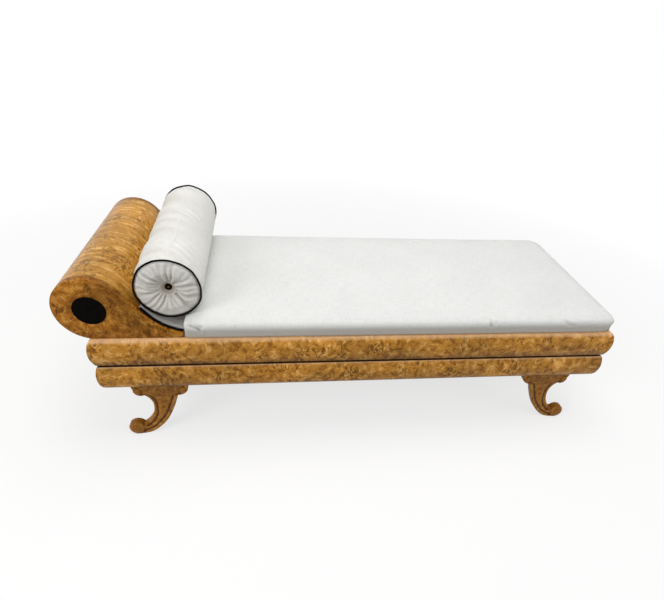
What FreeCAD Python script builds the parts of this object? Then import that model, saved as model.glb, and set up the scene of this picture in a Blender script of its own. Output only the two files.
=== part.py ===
"""A recamier: a low daybed with a scrolled head, built the way a cabinet maker builds it.

Two tiers of mitred, rounded rails stand on four carved scroll legs. A hollow scroll with a
concave sweep closes the head end. A loose upholstered squab lies on the rails, and a round
bolster rests in the angle between the squab and the padded sweep.

Lengths are millimetres. X runs from the head to the foot, Y from the front to the back, Z up.
The origin lies on the floor, under the middle of the whole piece.
"""
import FreeCAD, Part
import math
import os

Vector = FreeCAD.Vector
X_AXIS = Vector(1, 0, 0)
Y_AXIS = Vector(0, 1, 0)
Z_AXIS = Vector(0, 0, 1)
FULL_TURN = 360.0
QUARTER_TURN = 90.0

# Clearances
SEAT_GAP = 0.3           # between curved or soft faces that touch
TENON_PLAY = 0.1         # all round a tenon

# Carcass, measured over the rounded faces of the rails
RAIL_LENGTH = 1772.0
RAIL_DEPTH = 686.0
RAIL_THICKNESS = 70.0
LEG_HEIGHT = 232.0
LOWER_RAIL_HEIGHT = 102.0
REVEAL_HEIGHT = 5.0      # dark gap between the two tiers
REVEAL_DEPTH = 22.0
UPPER_RAIL_HEIGHT = 99.0
RAIL_FACE_RADIUS = 120.0
UPPER_BULGE_DROP = 50.0  # widest line, below the top of the upper rail
UPPER_TOP_ROUND = 20.0
UPPER_LOWER_ROUND = 4.0
LOWER_SETBACK = 1.2      # how far the lower tier stands behind the upper one
LOWER_BULGE_DROP = 44.0
LOWER_TOP_ROUND = 6.0
LOWER_UNDER_ROUND = 38.0

# Inner carcass
BLOCK_LEG = 70.0
BLOCK_HEIGHT = 150.0
BLOCK_RAISE = 30.0       # above the underside of the lower rails
BEARER_WIDTH = 60.0
BEARER_HEIGHT = 30.0
BEARER_HOUSING = 22.0    # how far a bearer is let into the rails
BEARER_COUNT = 3

# Scrolled head
SCROLL_RADIUS = 102.3
SCROLL_SETBACK = 39.3    # scroll axis, in from the head end of the rails
SCROLL_SINK = 1.7        # how much of the circle is flattened on the rails
SWEEP_ANGLE = 38.0       # where the sweep leaves the circle, above the horizontal
SWEEP_RUN = 116.6        # straight part of the sweep
SWEEP_RADIUS = 159.0     # hollow part of the sweep
TOE_REACH = 289.5        # end of the sweep, in from the head end of the rails
CHEEK_THICKNESS = 22.0
CHEEK_INSET = 20.0       # outer face of a cheek, behind the rounded rail face
SKIN_THICKNESS = 14.0
FORMER_THICKNESS = 18.0
FORMER_COUNT = 1
ROUNDEL_RADIUS = 46.1
ROUNDEL_RECESS = 6.0
ROUNDEL_RISE = 3.0         # stands proud of the cheek

# Pad on the sweep
PAD_THICKNESS = 7.5
PAD_INSET = 20.0         # in from the outer face of a cheek
PAD_START = 84.0         # start of the pad, down the straight part of the sweep
PAD_EDGE_ROUND = 4.0
PAD_CORD_RADIUS = 4.2
CORD_SIDES = 6

# Scroll leg, drawn on a grid of its own reach and height
LEG_REACH = 242.0
LEG_THICKNESS = 28.0
LEG_FACE_INSET = 30.0    # carved face, behind the rounded rail face
LEG_TOE_INSET = 32.0     # toe, in from the end of the rails
FLUTE_HALF_WIDTH = 4.0
FLUTE_DEPTH = 2.5
EYE_RISE = 2.5
TOE_EYE_RADIUS = 17.0
TENON_WIDTH = 80.0
TENON_THICKNESS = 12.0
TENON_HEIGHT = 60.0

# Squab
SQUAB_INSET = 10.0       # behind the rounded rail faces
SQUAB_EDGE_HEIGHT = 64.0
SQUAB_CROWN = 6.5
SQUAB_FOOT_CORNER = 38.0
SQUAB_HEAD_CORNER = 12.0
SQUAB_HEAD_ROLL = 15.0
SQUAB_TOE_GAP = 0.4      # between the squab and the toe of the sweep
POCKET_INSET = 14.0      # upholstery over the edge of the squab's frame
SQUAB_BOARD_THICKNESS = 22.0
SQUAB_BOARD_WIDTH = 55.0
SQUAB_BAR_COUNT = 2
WEB_THICKNESS = 1.5
WEB_WIDTH = 52.0
WEB_CROSS_COUNT = 11
WEB_LONG_COUNT = 4
WEB_MARGIN = 12.0        # from the outer edge of the frame to the end of a strap

# Bolster
BOLSTER_RADIUS = 98.0
BOLSTER_SEAM_RADIUS = 94.3
BOLSTER_SEAM_INSET = 50.0   # seam, behind the rounded rail face
BOLSTER_DIMPLE = 20.0       # depth of the gathered middle, behind the seam
BOLSTER_SWELL = 45.0        # behind the seam, where the side reaches its full radius
BOLSTER_PUFF = 7.0          # how far an end stands past its seam
BOLSTER_PUFF_RADIUS = 84.0
BOLSTER_SKEW = 1.8          # degrees askew on the sweep, its back end lying higher
PIPING_RADIUS = 2.8
BUTTON_RADIUS = 12.0
BUTTON_THICKNESS = 6.0
BUTTON_TAPER = 0.7
PLEAT_COUNT = 22

# Levels and places worked out from the sizes above
LOWER_TOP = LEG_HEIGHT + LOWER_RAIL_HEIGHT
UPPER_BOTTOM = LOWER_TOP + REVEAL_HEIGHT
RAIL_TOP = UPPER_BOTTOM + UPPER_RAIL_HEIGHT
HEAD_OVERHANG = SCROLL_RADIUS - SCROLL_SETBACK
RAIL_HEAD_X = HEAD_OVERHANG / 2 - RAIL_LENGTH / 2
RAIL_FOOT_X = RAIL_HEAD_X + RAIL_LENGTH
RAIL_MID_X = RAIL_HEAD_X + RAIL_LENGTH / 2
FRONT_Y = -RAIL_DEPTH / 2
INNER_HALF_DEPTH = RAIL_DEPTH / 2 - RAIL_THICKNESS


def point(x, z):
    """A point of a drawing that stands in the plane of X and Z."""
    return Vector(x, 0, z)


def arc(start, middle, end):
    return Part.Arc(start, middle, end).toShape()


def line(start, end):
    return Part.LineSegment(start, end).toShape()


def prism(edges, direction):
    return Part.Face(Part.Wire(edges)).extrude(direction)


def box(x_low, x_high, y_low, y_high, z_low, z_high):
    corner = Vector(x_low, y_low, z_low)
    return Part.makeBox(x_high - x_low, y_high - y_low, z_high - z_low, corner)


def spread(count, low, high):
    """Evenly spaced places between two ends, with equal gaps beyond the outer ones."""
    step = (high - low) / (count + 1)
    return [low + step * (index + 1) for index in range(count)]


def mirrored_in_depth(shape):
    return shape.mirror(Vector(), Y_AXIS)


def front_and_back(shape):
    """A front piece and its mirror image, as one group."""
    return Part.makeCompound([shape, mirrored_in_depth(shape)])


def export(name, shape):
    shape.exportStep(os.path.join("parts", name + ".step"))
    size = shape.BoundBox
    print(name, len(shape.Solids), shape.isValid(), round(shape.Volume / 1000),
          round(size.XLength), round(size.YLength), round(size.ZLength))


# Rails

def tangent_round(centre, radius, level):
    """Small round inside the large face arc, with its centre at a given level."""
    reach = RAIL_FACE_RADIUS - radius
    inset = centre.y - math.sqrt(reach ** 2 - (level - centre.z) ** 2)
    middle = Vector(0, inset, level)
    touch = centre + (middle - centre) * (RAIL_FACE_RADIUS / reach)
    return middle, touch


def rounded_face(bottom, top, bulge, setback, bottom_round, top_round):
    """Edges of a rail's outer face from the underside to the top, and their two ends."""
    centre = Vector(0, setback + RAIL_FACE_RADIUS, bulge)
    low_centre, low_touch = tangent_round(centre, bottom_round, bottom + bottom_round)
    high_centre, high_touch = tangent_round(centre, top_round, top - top_round)
    start = Vector(0, low_centre.y, bottom)
    end = Vector(0, high_centre.y, top)
    low_middle = low_centre + ((start - low_centre) + (low_touch - low_centre)).normalize() * bottom_round
    high_middle = high_centre + ((end - high_centre) + (high_touch - high_centre)).normalize() * top_round
    widest = Vector(0, setback, bulge)
    edges = [
        arc(start, low_middle, low_touch),
        arc(low_touch, widest, high_touch),
        arc(high_touch, high_middle, end),
    ]
    return edges, start, end


def closed_profile(edges, points):
    """The face edges, closed by straight lines through the points."""
    return edges + [line(a, b) for a, b in zip(points, points[1:])]


def upper_rail_profile():
    edges, start, end = rounded_face(UPPER_BOTTOM, RAIL_TOP, RAIL_TOP - UPPER_BULGE_DROP, 0.0,
                                     UPPER_LOWER_ROUND, UPPER_TOP_ROUND)
    inner_top = Vector(0, RAIL_THICKNESS, RAIL_TOP)
    inner_bottom = Vector(0, RAIL_THICKNESS, UPPER_BOTTOM)
    return closed_profile(edges, [end, inner_top, inner_bottom, start])


def lower_rail_profile():
    edges, start, end = rounded_face(LEG_HEIGHT, LOWER_TOP, LOWER_TOP - LOWER_BULGE_DROP,
                                     LOWER_SETBACK, LOWER_UNDER_ROUND, LOWER_TOP_ROUND)
    neck_foot = Vector(0, REVEAL_DEPTH, LOWER_TOP)
    neck_top = Vector(0, REVEAL_DEPTH, UPPER_BOTTOM)
    inner_top = Vector(0, RAIL_THICKNESS, UPPER_BOTTOM)
    inner_bottom = Vector(0, RAIL_THICKNESS, LEG_HEIGHT)
    return closed_profile(edges, [end, neck_foot, neck_top, inner_top, inner_bottom, start])


def mitred_rail(profile, length):
    """A rail along X with its outer face on Y = 0, mitred at both ends."""
    half = length / 2
    rail = prism(profile, Vector(length, 0, 0))
    rail.translate(Vector(-half, 0, 0))
    plan = Part.makePolygon([
        Vector(-half, 0, 0),
        Vector(half, 0, 0),
        Vector(half - RAIL_THICKNESS, RAIL_THICKNESS, 0),
        Vector(RAIL_THICKNESS - half, RAIL_THICKNESS, 0),
        Vector(-half, 0, 0),
    ])
    return rail.common(Part.Face(plan).extrude(Vector(0, 0, RAIL_TOP)))


def rail_frame(profile):
    """Front, back, head and foot rail of one tier."""
    long_rail = mitred_rail(profile, RAIL_LENGTH)
    short_rail = mitred_rail(profile, RAIL_DEPTH)
    long_rail.translate(Vector(0, FRONT_Y, 0))
    short_rail.translate(Vector(0, -RAIL_LENGTH / 2, 0))
    turns = {
        "front": (long_rail, 0),
        "foot": (short_rail, 1),
        "back": (long_rail, 2),
        "head": (short_rail, 3),
    }
    frame = {}
    for side, (rail, quarters) in turns.items():
        placed = rail.copy()
        placed.rotate(Vector(), Z_AXIS, QUARTER_TURN * quarters)
        placed.translate(Vector(RAIL_MID_X, 0, 0))
        frame[side] = placed
    return frame


# Inner carcass

def corner_blocks():
    """Four triangular glue blocks, one in each inner corner of the rails."""
    blocks = []
    bottom = LEG_HEIGHT + BLOCK_RAISE
    for x_corner, x_way in ((RAIL_HEAD_X + RAIL_THICKNESS, 1), (RAIL_FOOT_X - RAIL_THICKNESS, -1)):
        for way in (1, -1):
            corner = Vector(x_corner, -way * INNER_HALF_DEPTH, bottom)
            along = corner + X_AXIS * x_way * BLOCK_LEG
            across = corner + Y_AXIS * way * BLOCK_LEG
            plan = Part.makePolygon([corner, along, across, corner])
            blocks.append(Part.Face(plan).extrude(Vector(0, 0, BLOCK_HEIGHT)))
    return Part.makeCompound(blocks)


def bearer_places():
    """The first bearer lies under the joint of head and squab, the others share the rest."""
    first = RAIL_HEAD_X + TOE_REACH
    last = RAIL_FOOT_X - RAIL_THICKNESS
    return [first] + spread(BEARER_COUNT - 1, first, last)


def bearer_box(x):
    reach = INNER_HALF_DEPTH + BEARER_HOUSING
    half = BEARER_WIDTH / 2
    return box(x - half, x + half, -reach, reach, RAIL_TOP - BEARER_HEIGHT, RAIL_TOP)


# Scrolled head

SCROLL_X = RAIL_HEAD_X + SCROLL_SETBACK
SCROLL_Z = RAIL_TOP + SCROLL_RADIUS - SCROLL_SINK
TOE_X = RAIL_HEAD_X + TOE_REACH
SWEEP_OUT = point(math.cos(math.radians(SWEEP_ANGLE)), math.sin(math.radians(SWEEP_ANGLE)))
SWEEP_DOWN = point(SWEEP_OUT.z, -SWEEP_OUT.x)
SCROLL_AXIS = point(SCROLL_X, SCROLL_Z)
SWEEP_CENTRE = SCROLL_AXIS + SWEEP_OUT * (SCROLL_RADIUS + SWEEP_RADIUS) + SWEEP_DOWN * SWEEP_RUN


def sweep_point(run, rise):
    """A point on the straight part of the sweep, lifted off its surface by rise."""
    return SCROLL_AXIS + SWEEP_OUT * (SCROLL_RADIUS + rise) + SWEEP_DOWN * run


def hollow_point_at_x(x, rise):
    """The point of the hollow part, lifted by rise, at a given x."""
    radius = SWEEP_RADIUS - rise
    return point(x, SWEEP_CENTRE.z - math.sqrt(radius ** 2 - (x - SWEEP_CENTRE.x) ** 2))


def hollow_point_at_z(z, rise):
    """The point of the hollow part, lifted by rise, at a given height."""
    radius = SWEEP_RADIUS - rise
    return point(SWEEP_CENTRE.x - math.sqrt(radius ** 2 - (z - SWEEP_CENTRE.z) ** 2), z)


def hollow_arc(start, end, rise):
    middle = ((start - SWEEP_CENTRE).normalize() + (end - SWEEP_CENTRE).normalize()).normalize()
    return arc(start, SWEEP_CENTRE + middle * (SWEEP_RADIUS - rise), end)


def head_outline(depth):
    """Outline of the scrolled head, a given depth under its surface."""
    radius = SCROLL_RADIUS - depth
    floor = RAIL_TOP + depth
    leaving = sweep_point(0, -depth)
    turning = sweep_point(SWEEP_RUN, -depth)
    heel = point(SCROLL_X - math.sqrt(radius ** 2 - (SCROLL_Z - floor) ** 2), floor)
    if depth:
        toe_edges = []
        toe = hollow_point_at_z(floor, -depth)
        toe_foot = toe
    else:
        toe = hollow_point_at_x(TOE_X, 0)
        toe_foot = point(TOE_X, floor)
        toe_edges = [line(toe, toe_foot)]
    far_side = SCROLL_AXIS - SWEEP_OUT * radius
    top = SCROLL_AXIS + point(-SWEEP_OUT.z, SWEEP_OUT.x) * radius
    lower_left = ((far_side - SCROLL_AXIS) + (heel - SCROLL_AXIS)).normalize() * radius
    return [
        arc(leaving, top, far_side),
        arc(far_side, SCROLL_AXIS + lower_left, heel),
        line(heel, toe_foot),
    ] + toe_edges + [
        hollow_arc(toe, turning, -depth),
        line(turning, leaving),
    ]


def head_slice(depth, y_low, y_high):
    piece = prism(head_outline(depth), Vector(0, y_high - y_low, 0))
    piece.translate(Vector(0, y_low, 0))
    return piece


CHEEK_FACE_Y = FRONT_Y + CHEEK_INSET
CHEEK_BACK_Y = CHEEK_FACE_Y + CHEEK_THICKNESS


def disc(radius, depth, y):
    return Part.makeCylinder(radius, depth, Vector(SCROLL_X, y, SCROLL_Z), Y_AXIS)


def front_cheek():
    """The shaped board that closes the front of the scroll, recessed for its roundel."""
    board = head_slice(0, CHEEK_FACE_Y, CHEEK_BACK_Y)
    return board.cut(disc(ROUNDEL_RADIUS + SEAT_GAP, ROUNDEL_RECESS, CHEEK_FACE_Y))


def front_roundel():
    """A turned disc that stands a little proud of the cheek it is seated in."""
    return disc(ROUNDEL_RADIUS, ROUNDEL_RECESS + ROUNDEL_RISE, CHEEK_FACE_Y - ROUNDEL_RISE)


def head_base():
    """The board that closes the scroll below, between the cheeks."""
    slab = box(RAIL_HEAD_X, TOE_X, CHEEK_BACK_Y, -CHEEK_BACK_Y, RAIL_TOP, RAIL_TOP + SKIN_THICKNESS)
    return head_slice(0, CHEEK_BACK_Y, -CHEEK_BACK_Y).common(slab)


def scroll_skin():
    """The bent, veneered wall of the scroll and its sweep, hollow inside."""
    outside = head_slice(0, CHEEK_BACK_Y, -CHEEK_BACK_Y)
    return outside.cut(head_slice(SKIN_THICKNESS, CHEEK_BACK_Y, -CHEEK_BACK_Y)).cut(head_base())


def head_formers():
    """Ribs that hold the bent wall to its shape."""
    ribs = []
    for y in spread(FORMER_COUNT, CHEEK_BACK_Y, -CHEEK_BACK_Y):
        rib = head_slice(SKIN_THICKNESS + SEAT_GAP, y - FORMER_THICKNESS / 2, y + FORMER_THICKNESS / 2)
        rib.translate(Vector(0, 0, -SEAT_GAP))
        ribs.append(rib)
    return Part.makeCompound(ribs)


PAD_FRONT_Y = CHEEK_FACE_Y + PAD_INSET


def head_pad():
    """The thin upholstered pad on the sweep, rounded along its edges."""
    top_start = sweep_point(PAD_START + PAD_THICKNESS / 2, PAD_THICKNESS)
    foot_start = sweep_point(PAD_START, 0)
    top_turn = sweep_point(SWEEP_RUN, PAD_THICKNESS)
    foot_turn = sweep_point(SWEEP_RUN, 0)
    top_end = hollow_point_at_x(TOE_X, PAD_THICKNESS)
    foot_end = hollow_point_at_x(TOE_X, 0)
    edges = [
        line(foot_start, foot_turn),
        hollow_arc(foot_turn, foot_end, 0),
        line(foot_end, top_end),
        hollow_arc(top_end, top_turn, PAD_THICKNESS),
        line(top_turn, top_start),
        line(top_start, foot_start),
    ]
    pad = prism(edges, Vector(0, -2 * PAD_FRONT_Y, 0))
    pad.translate(Vector(0, PAD_FRONT_Y, 0))
    long_edges = [edge for edge in pad.Edges if lies_on_pad_top(edge)]
    return pad.makeFillet(PAD_EDGE_ROUND, long_edges)


def middle_of(edge):
    return edge.valueAt((edge.FirstParameter + edge.LastParameter) / 2)


def lies_on_pad_top(edge):
    """True for the four upper edges on the front and back side of the pad."""
    middle = middle_of(edge)
    on_side = abs(abs(middle.y) + PAD_FRONT_Y) < SEAT_GAP
    off_axis = Vector(middle.x, 0, middle.z) - SWEEP_CENTRE
    straight = abs(off_axis.dot(SWEEP_OUT) + SWEEP_RADIUS - PAD_THICKNESS) < SEAT_GAP
    hollow = abs(off_axis.Length - SWEEP_RADIUS + PAD_THICKNESS) < SEAT_GAP
    return on_side and (straight or hollow)


def cord_section(centre, outward, radius):
    """The many-sided section of a covered cord, with a flat side outward, in the plane of that and Y."""
    turns = [2 * math.pi * (step + 0.5) / CORD_SIDES for step in range(CORD_SIDES + 1)]
    corners = [centre + (outward * math.cos(turn) + Y_AXIS * math.sin(turn)) * radius for turn in turns]
    return Part.Face(Part.makePolygon(corners))


def front_pad_piping():
    """The cord along the lower front edge of the pad."""
    rise = PAD_CORD_RADIUS + SEAT_GAP
    shift = Vector(0, PAD_FRONT_Y - rise, 0)
    start = sweep_point(PAD_START, rise) + shift
    turn = sweep_point(SWEEP_RUN, rise) + shift
    end = hollow_point_at_x(TOE_X - SEAT_GAP, rise) + shift
    centre = SWEEP_CENTRE + shift
    angle = math.degrees((turn - centre).getAngle(end - centre))
    straight = cord_section(start, SWEEP_OUT, PAD_CORD_RADIUS).extrude(turn - start)
    bent = cord_section(turn, SWEEP_OUT, PAD_CORD_RADIUS).revolve(centre, -Y_AXIS, angle)
    return straight.fuse(bent)


# Legs

def leg_point(across, up):
    """A point of the leg's own drawing, given as shares of its reach and height."""
    return point(across * LEG_REACH, up * LEG_HEIGHT)


LEG_TOP_LEFT = (0.207, 1.0)
LEG_TOP_RIGHT = (0.996, 1.0)
LEG_OUTER_EAR = [((0.222, 0.905), (0.262, 0.812), (0.339, 0.823))]
LEG_HOLLOW = [
    ((0.339, 0.823), (0.424, 0.736), (0.455, 0.616)),
    ((0.455, 0.616), (0.396, 0.370), (0.234, 0.181)),
]
LEG_TOE = [
    ((0.234, 0.181), (0.134, 0.241), (0.018, 0.121)),
    ((0.018, 0.121), (0.052, 0.035), (0.134, 0.0)),
]
LEG_SOLE_END = (0.240, 0.0)
LEG_BACK = [
    ((0.240, 0.0), (0.421, 0.073), (0.550, 0.216)),
    ((0.550, 0.216), (0.711, 0.500), (0.822, 0.806)),
]
LEG_INNER_EAR = [((0.822, 0.806), (0.905, 0.815), (0.971, 0.920))]
FLUTES = [
    [((0.415, 0.880), (0.500, 0.650), (0.458, 0.402)), ((0.458, 0.402), (0.382, 0.265), (0.281, 0.160))],
    [((0.752, 0.862), (0.661, 0.543), (0.492, 0.259)), ((0.492, 0.259), (0.393, 0.142), (0.256, 0.088))],
]
TOE_EYE = (0.134, 0.121)


def leg_edges(arcs):
    return [arc(leg_point(*first), leg_point(*middle), leg_point(*last)) for first, middle, last in arcs]


def leg_outline():
    pieces = [line(leg_point(*LEG_TOP_LEFT), leg_point(*LEG_OUTER_EAR[0][0]))]
    pieces += leg_edges(LEG_OUTER_EAR + LEG_HOLLOW + LEG_TOE)
    pieces.append(line(leg_point(*LEG_TOE[-1][-1]), leg_point(*LEG_SOLE_END)))
    pieces += leg_edges(LEG_BACK) + leg_edges(LEG_INNER_EAR)
    pieces.append(line(leg_point(*LEG_INNER_EAR[-1][-1]), leg_point(*LEG_TOP_RIGHT)))
    pieces.append(line(leg_point(*LEG_TOP_RIGHT), leg_point(*LEG_TOP_LEFT)))
    return pieces


def ring_part(arc_points, half_width, depth):
    """A slab of even width that follows an arc."""
    first, middle, last = (leg_point(*share) for share in arc_points)
    centre = arc(first, middle, last).Curve.Center
    sides = []
    for way, places in ((1, (first, middle, last)), (-1, (last, middle, first))):
        sides.append([place + (place - centre).normalize() * way * half_width for place in places])
    outer, inner = sides
    edges = [arc(*outer), line(outer[-1], inner[0]), arc(*inner), line(inner[-1], outer[0])]
    return prism(edges, Vector(0, depth, 0))


def flute(arcs):
    """The channel cut along the leg's outer face."""
    upper, lower = (ring_part(arc_points, FLUTE_HALF_WIDTH, FLUTE_DEPTH) for arc_points in arcs)
    knee = Part.makeCylinder(FLUTE_HALF_WIDTH, FLUTE_DEPTH, leg_point(*arcs[-1][0]), Y_AXIS)
    return upper.fuse([lower, knee]).removeSplitter()


def toe_eye():
    """The raised eye of the lower volute, on the leg's outer face."""
    return Part.makeCylinder(TOE_EYE_RADIUS, 2 * EYE_RISE, leg_point(*TOE_EYE) - Y_AXIS * EYE_RISE, Y_AXIS)


def leg_tenon(play=0.0):
    """The loose tenon that joins a leg to the rail above it, or its mortise."""
    middle = (LEG_TOP_LEFT[0] + LEG_TOP_RIGHT[0]) / 2 * LEG_REACH
    wide = TENON_WIDTH / 2 + play
    thick = TENON_THICKNESS / 2 + play
    high = TENON_HEIGHT / 2 + play
    return box(middle - wide, middle + wide, LEG_THICKNESS / 2 - thick, LEG_THICKNESS / 2 + thick,
               LEG_HEIGHT - high, LEG_HEIGHT + high)


def carved_leg():
    """The scroll leg, toe towards -X, with its carved face on Y = 0."""
    leg = prism(leg_outline(), Vector(0, LEG_THICKNESS, 0)).cut(leg_tenon(TENON_PLAY))
    leg = leg.cut([flute(arcs) for arcs in FLUTES])
    return leg.fuse(toe_eye())


LEG_FACE_Y = FRONT_Y + LEG_FACE_INSET


def at_each_leg(shape):
    """The shape of the front head leg, placed at all four legs."""
    head = shape.copy()
    head.translate(Vector(RAIL_HEAD_X + LEG_TOE_INSET, LEG_FACE_Y, 0))
    foot = head.mirror(Vector(RAIL_MID_X, 0, 0), X_AXIS)
    return {
        "front_head": head,
        "front_foot": foot,
        "back_head": mirrored_in_depth(head),
        "back_foot": mirrored_in_depth(foot),
    }


# Squab

SQUAB_HEAD_X = TOE_X + SQUAB_TOE_GAP
SQUAB_FOOT_X = RAIL_FOOT_X - SQUAB_INSET
SQUAB_HALF_DEPTH = RAIL_DEPTH / 2 - SQUAB_INSET
SQUAB_TOP = RAIL_TOP + SQUAB_EDGE_HEIGHT
# Height as a share of the edge height, and how far the side is drawn in there
SQUAB_SIDES = [
    (0.00, 7.0), (0.12, 4.6), (0.31, 5.4), (0.55, 0.0), (0.77, 4.5), (0.91, 16.0), (1.00, 42.0),
]
# Rise as a share of the crown, and how far in, as a share of the way to the middle
SQUAB_CROWN_STEPS = [(0.45, 0.30), (0.85, 0.60), (1.00, 0.88)]
CROWN_END_SHARE = 0.45


def squab_plan(head, foot, half_depth, z):
    """A rectangle with rounded corners, at height z."""
    corners = [
        (head, -half_depth, SQUAB_HEAD_CORNER, 1, 1),
        (foot, -half_depth, SQUAB_FOOT_CORNER, -1, 1),
        (foot, half_depth, SQUAB_FOOT_CORNER, -1, -1),
        (head, half_depth, SQUAB_HEAD_CORNER, 1, -1),
    ]
    bend = 1 - math.sqrt(0.5)
    arcs = []
    for x, y, wanted, x_way, y_way in corners:
        radius = min(wanted, 0.9 * half_depth)
        on_side = Vector(x, y + y_way * radius, z)
        on_end = Vector(x + x_way * radius, y, z)
        middle = Vector(x + x_way * radius * bend, y + y_way * radius * bend, z)
        ends = (on_side, on_end) if x_way == y_way else (on_end, on_side)
        arcs.append((ends[0], middle, ends[1]))
    edges = []
    for this, following in zip(arcs, arcs[1:] + arcs[:1]):
        edges.append(arc(*this))
        edges.append(line(this[-1], following[0]))
    return Part.Wire(edges)


def head_roll(height):
    """How far the squab's head end is drawn in, a given height above the rails."""
    above = height - (SQUAB_EDGE_HEIGHT - SQUAB_HEAD_ROLL)
    if above <= 0:
        return 0.0
    return SQUAB_HEAD_ROLL - math.sqrt(SQUAB_HEAD_ROLL ** 2 - above ** 2)


def squab_sections():
    sections = []
    for share, drawn_in in SQUAB_SIDES:
        height = share * SQUAB_EDGE_HEIGHT
        sections.append(squab_plan(SQUAB_HEAD_X + head_roll(height), SQUAB_FOOT_X - drawn_in,
                                   SQUAB_HALF_DEPTH - drawn_in, RAIL_TOP + height))
    last = SQUAB_SIDES[-1][1]
    half_length = (SQUAB_FOOT_X - SQUAB_HEAD_X) / 2
    for rise, way_in in SQUAB_CROWN_STEPS:
        side = last + way_in * (SQUAB_HALF_DEPTH - last)
        end = way_in * CROWN_END_SHARE * half_length
        sections.append(squab_plan(SQUAB_HEAD_X + SQUAB_HEAD_ROLL + end, SQUAB_FOOT_X - last - end,
                                   SQUAB_HALF_DEPTH - side, SQUAB_TOP + rise * SQUAB_CROWN))
    return sections


POCKET_HEAD_X = SQUAB_HEAD_X + POCKET_INSET
POCKET_FOOT_X = SQUAB_FOOT_X - POCKET_INSET
POCKET_HALF_DEPTH = SQUAB_HALF_DEPTH - POCKET_INSET
BOARD_TOP = RAIL_TOP + SQUAB_BOARD_THICKNESS
WEB_TOP = BOARD_TOP + 2 * WEB_THICKNESS


def squab():
    """The stuffed cover, with the pocket below that holds its frame and webbing."""
    body = Part.makeLoft(squab_sections(), True, True)
    pocket = box(POCKET_HEAD_X, POCKET_FOOT_X, -POCKET_HALF_DEPTH, POCKET_HALF_DEPTH, RAIL_TOP, WEB_TOP)
    return body.cut(pocket)


def squab_frame():
    """The loose seat frame: two long boards, two end boards and the bars between."""
    inner_y = POCKET_HALF_DEPTH - SQUAB_BOARD_WIDTH
    inner_head = POCKET_HEAD_X + SQUAB_BOARD_WIDTH
    inner_foot = POCKET_FOOT_X - SQUAB_BOARD_WIDTH
    boards = {
        "front": box(POCKET_HEAD_X, POCKET_FOOT_X, -POCKET_HALF_DEPTH, -inner_y, RAIL_TOP, BOARD_TOP),
        "back": box(POCKET_HEAD_X, POCKET_FOOT_X, inner_y, POCKET_HALF_DEPTH, RAIL_TOP, BOARD_TOP),
        "head": box(POCKET_HEAD_X, inner_head, -inner_y, inner_y, RAIL_TOP, BOARD_TOP),
        "foot": box(inner_foot, POCKET_FOOT_X, -inner_y, inner_y, RAIL_TOP, BOARD_TOP),
    }
    for index, x in enumerate(spread(SQUAB_BAR_COUNT, inner_head, inner_foot), start=1):
        half = SQUAB_BOARD_WIDTH / 2
        boards["bar_%d" % index] = box(x - half, x + half, -inner_y, inner_y, RAIL_TOP, BOARD_TOP)
    return boards


def cross_webbing():
    """Straps across the frame."""
    reach = POCKET_HALF_DEPTH - WEB_MARGIN
    low = POCKET_HEAD_X + WEB_MARGIN
    high = POCKET_FOOT_X - WEB_MARGIN
    half = WEB_WIDTH / 2
    return Part.makeCompound([box(x - half, x + half, -reach, reach, BOARD_TOP, BOARD_TOP + WEB_THICKNESS)
                              for x in spread(WEB_CROSS_COUNT, low, high)])


def long_webbing():
    """Straps along the frame, over the ones across."""
    low = POCKET_HEAD_X + WEB_MARGIN
    high = POCKET_FOOT_X - WEB_MARGIN
    half = WEB_WIDTH / 2
    return Part.makeCompound([box(low, high, y - half, y + half, BOARD_TOP + WEB_THICKNESS, WEB_TOP)
                              for y in spread(WEB_LONG_COUNT, -POCKET_HALF_DEPTH, POCKET_HALF_DEPTH)])


# Bolster

def bolster_axis():
    """Centre of the bolster where it rests on the pad and on the squab's head roll."""
    from_sweep = sweep_point(0, PAD_THICKNESS + SEAT_GAP + BOLSTER_RADIUS)
    roll = point(SQUAB_HEAD_X + SQUAB_HEAD_ROLL, SQUAB_TOP - SQUAB_HEAD_ROLL)
    reach = SQUAB_HEAD_ROLL + SEAT_GAP + BOLSTER_RADIUS
    offset = from_sweep - roll
    along = offset.dot(SWEEP_DOWN)
    run = -along - math.sqrt(along ** 2 - offset.dot(offset) + reach ** 2)
    return from_sweep + SWEEP_DOWN * run


SEAM_Y = FRONT_Y + BOLSTER_SEAM_INSET
# Radius, how far past the seam, and how much deeper the valleys lie, from the tool's back to the button
GATHER_RINGS = [
    (77.0, 30.0, 0.0),
    (77.0, 8.0, 0.0),
    (36.0, -0.5, 3.2),
    (BUTTON_RADIUS + SEAT_GAP, -BOLSTER_DIMPLE, 0.0),
]


def seam_groove():
    """Corners of the notch that the cord lies in, from the side to the end of the bolster."""
    reach = (PIPING_RADIUS + SEAT_GAP) * math.sqrt(2)
    return [
        Vector(BOLSTER_SEAM_RADIUS, SEAM_Y + reach, 0),
        Vector(BOLSTER_SEAM_RADIUS - reach, SEAM_Y, 0),
        Vector(BOLSTER_SEAM_RADIUS, SEAM_Y - reach, 0),
    ]


def bolster_half():
    """The front half of the stuffed cover, turned about the Y axis."""
    puff_y = SEAM_Y - BOLSTER_PUFF
    corners = [Vector(), Vector(BOLSTER_RADIUS, 0, 0), Vector(BOLSTER_RADIUS, SEAM_Y + BOLSTER_SWELL, 0)]
    corners += seam_groove()
    corners += [Vector(BOLSTER_PUFF_RADIUS, puff_y, 0), Vector(0, puff_y, 0), Vector()]
    half = Part.Face(Part.makePolygon(corners)).revolve(Vector(), Y_AXIS, FULL_TURN)
    return half.cut(gathers())


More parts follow.
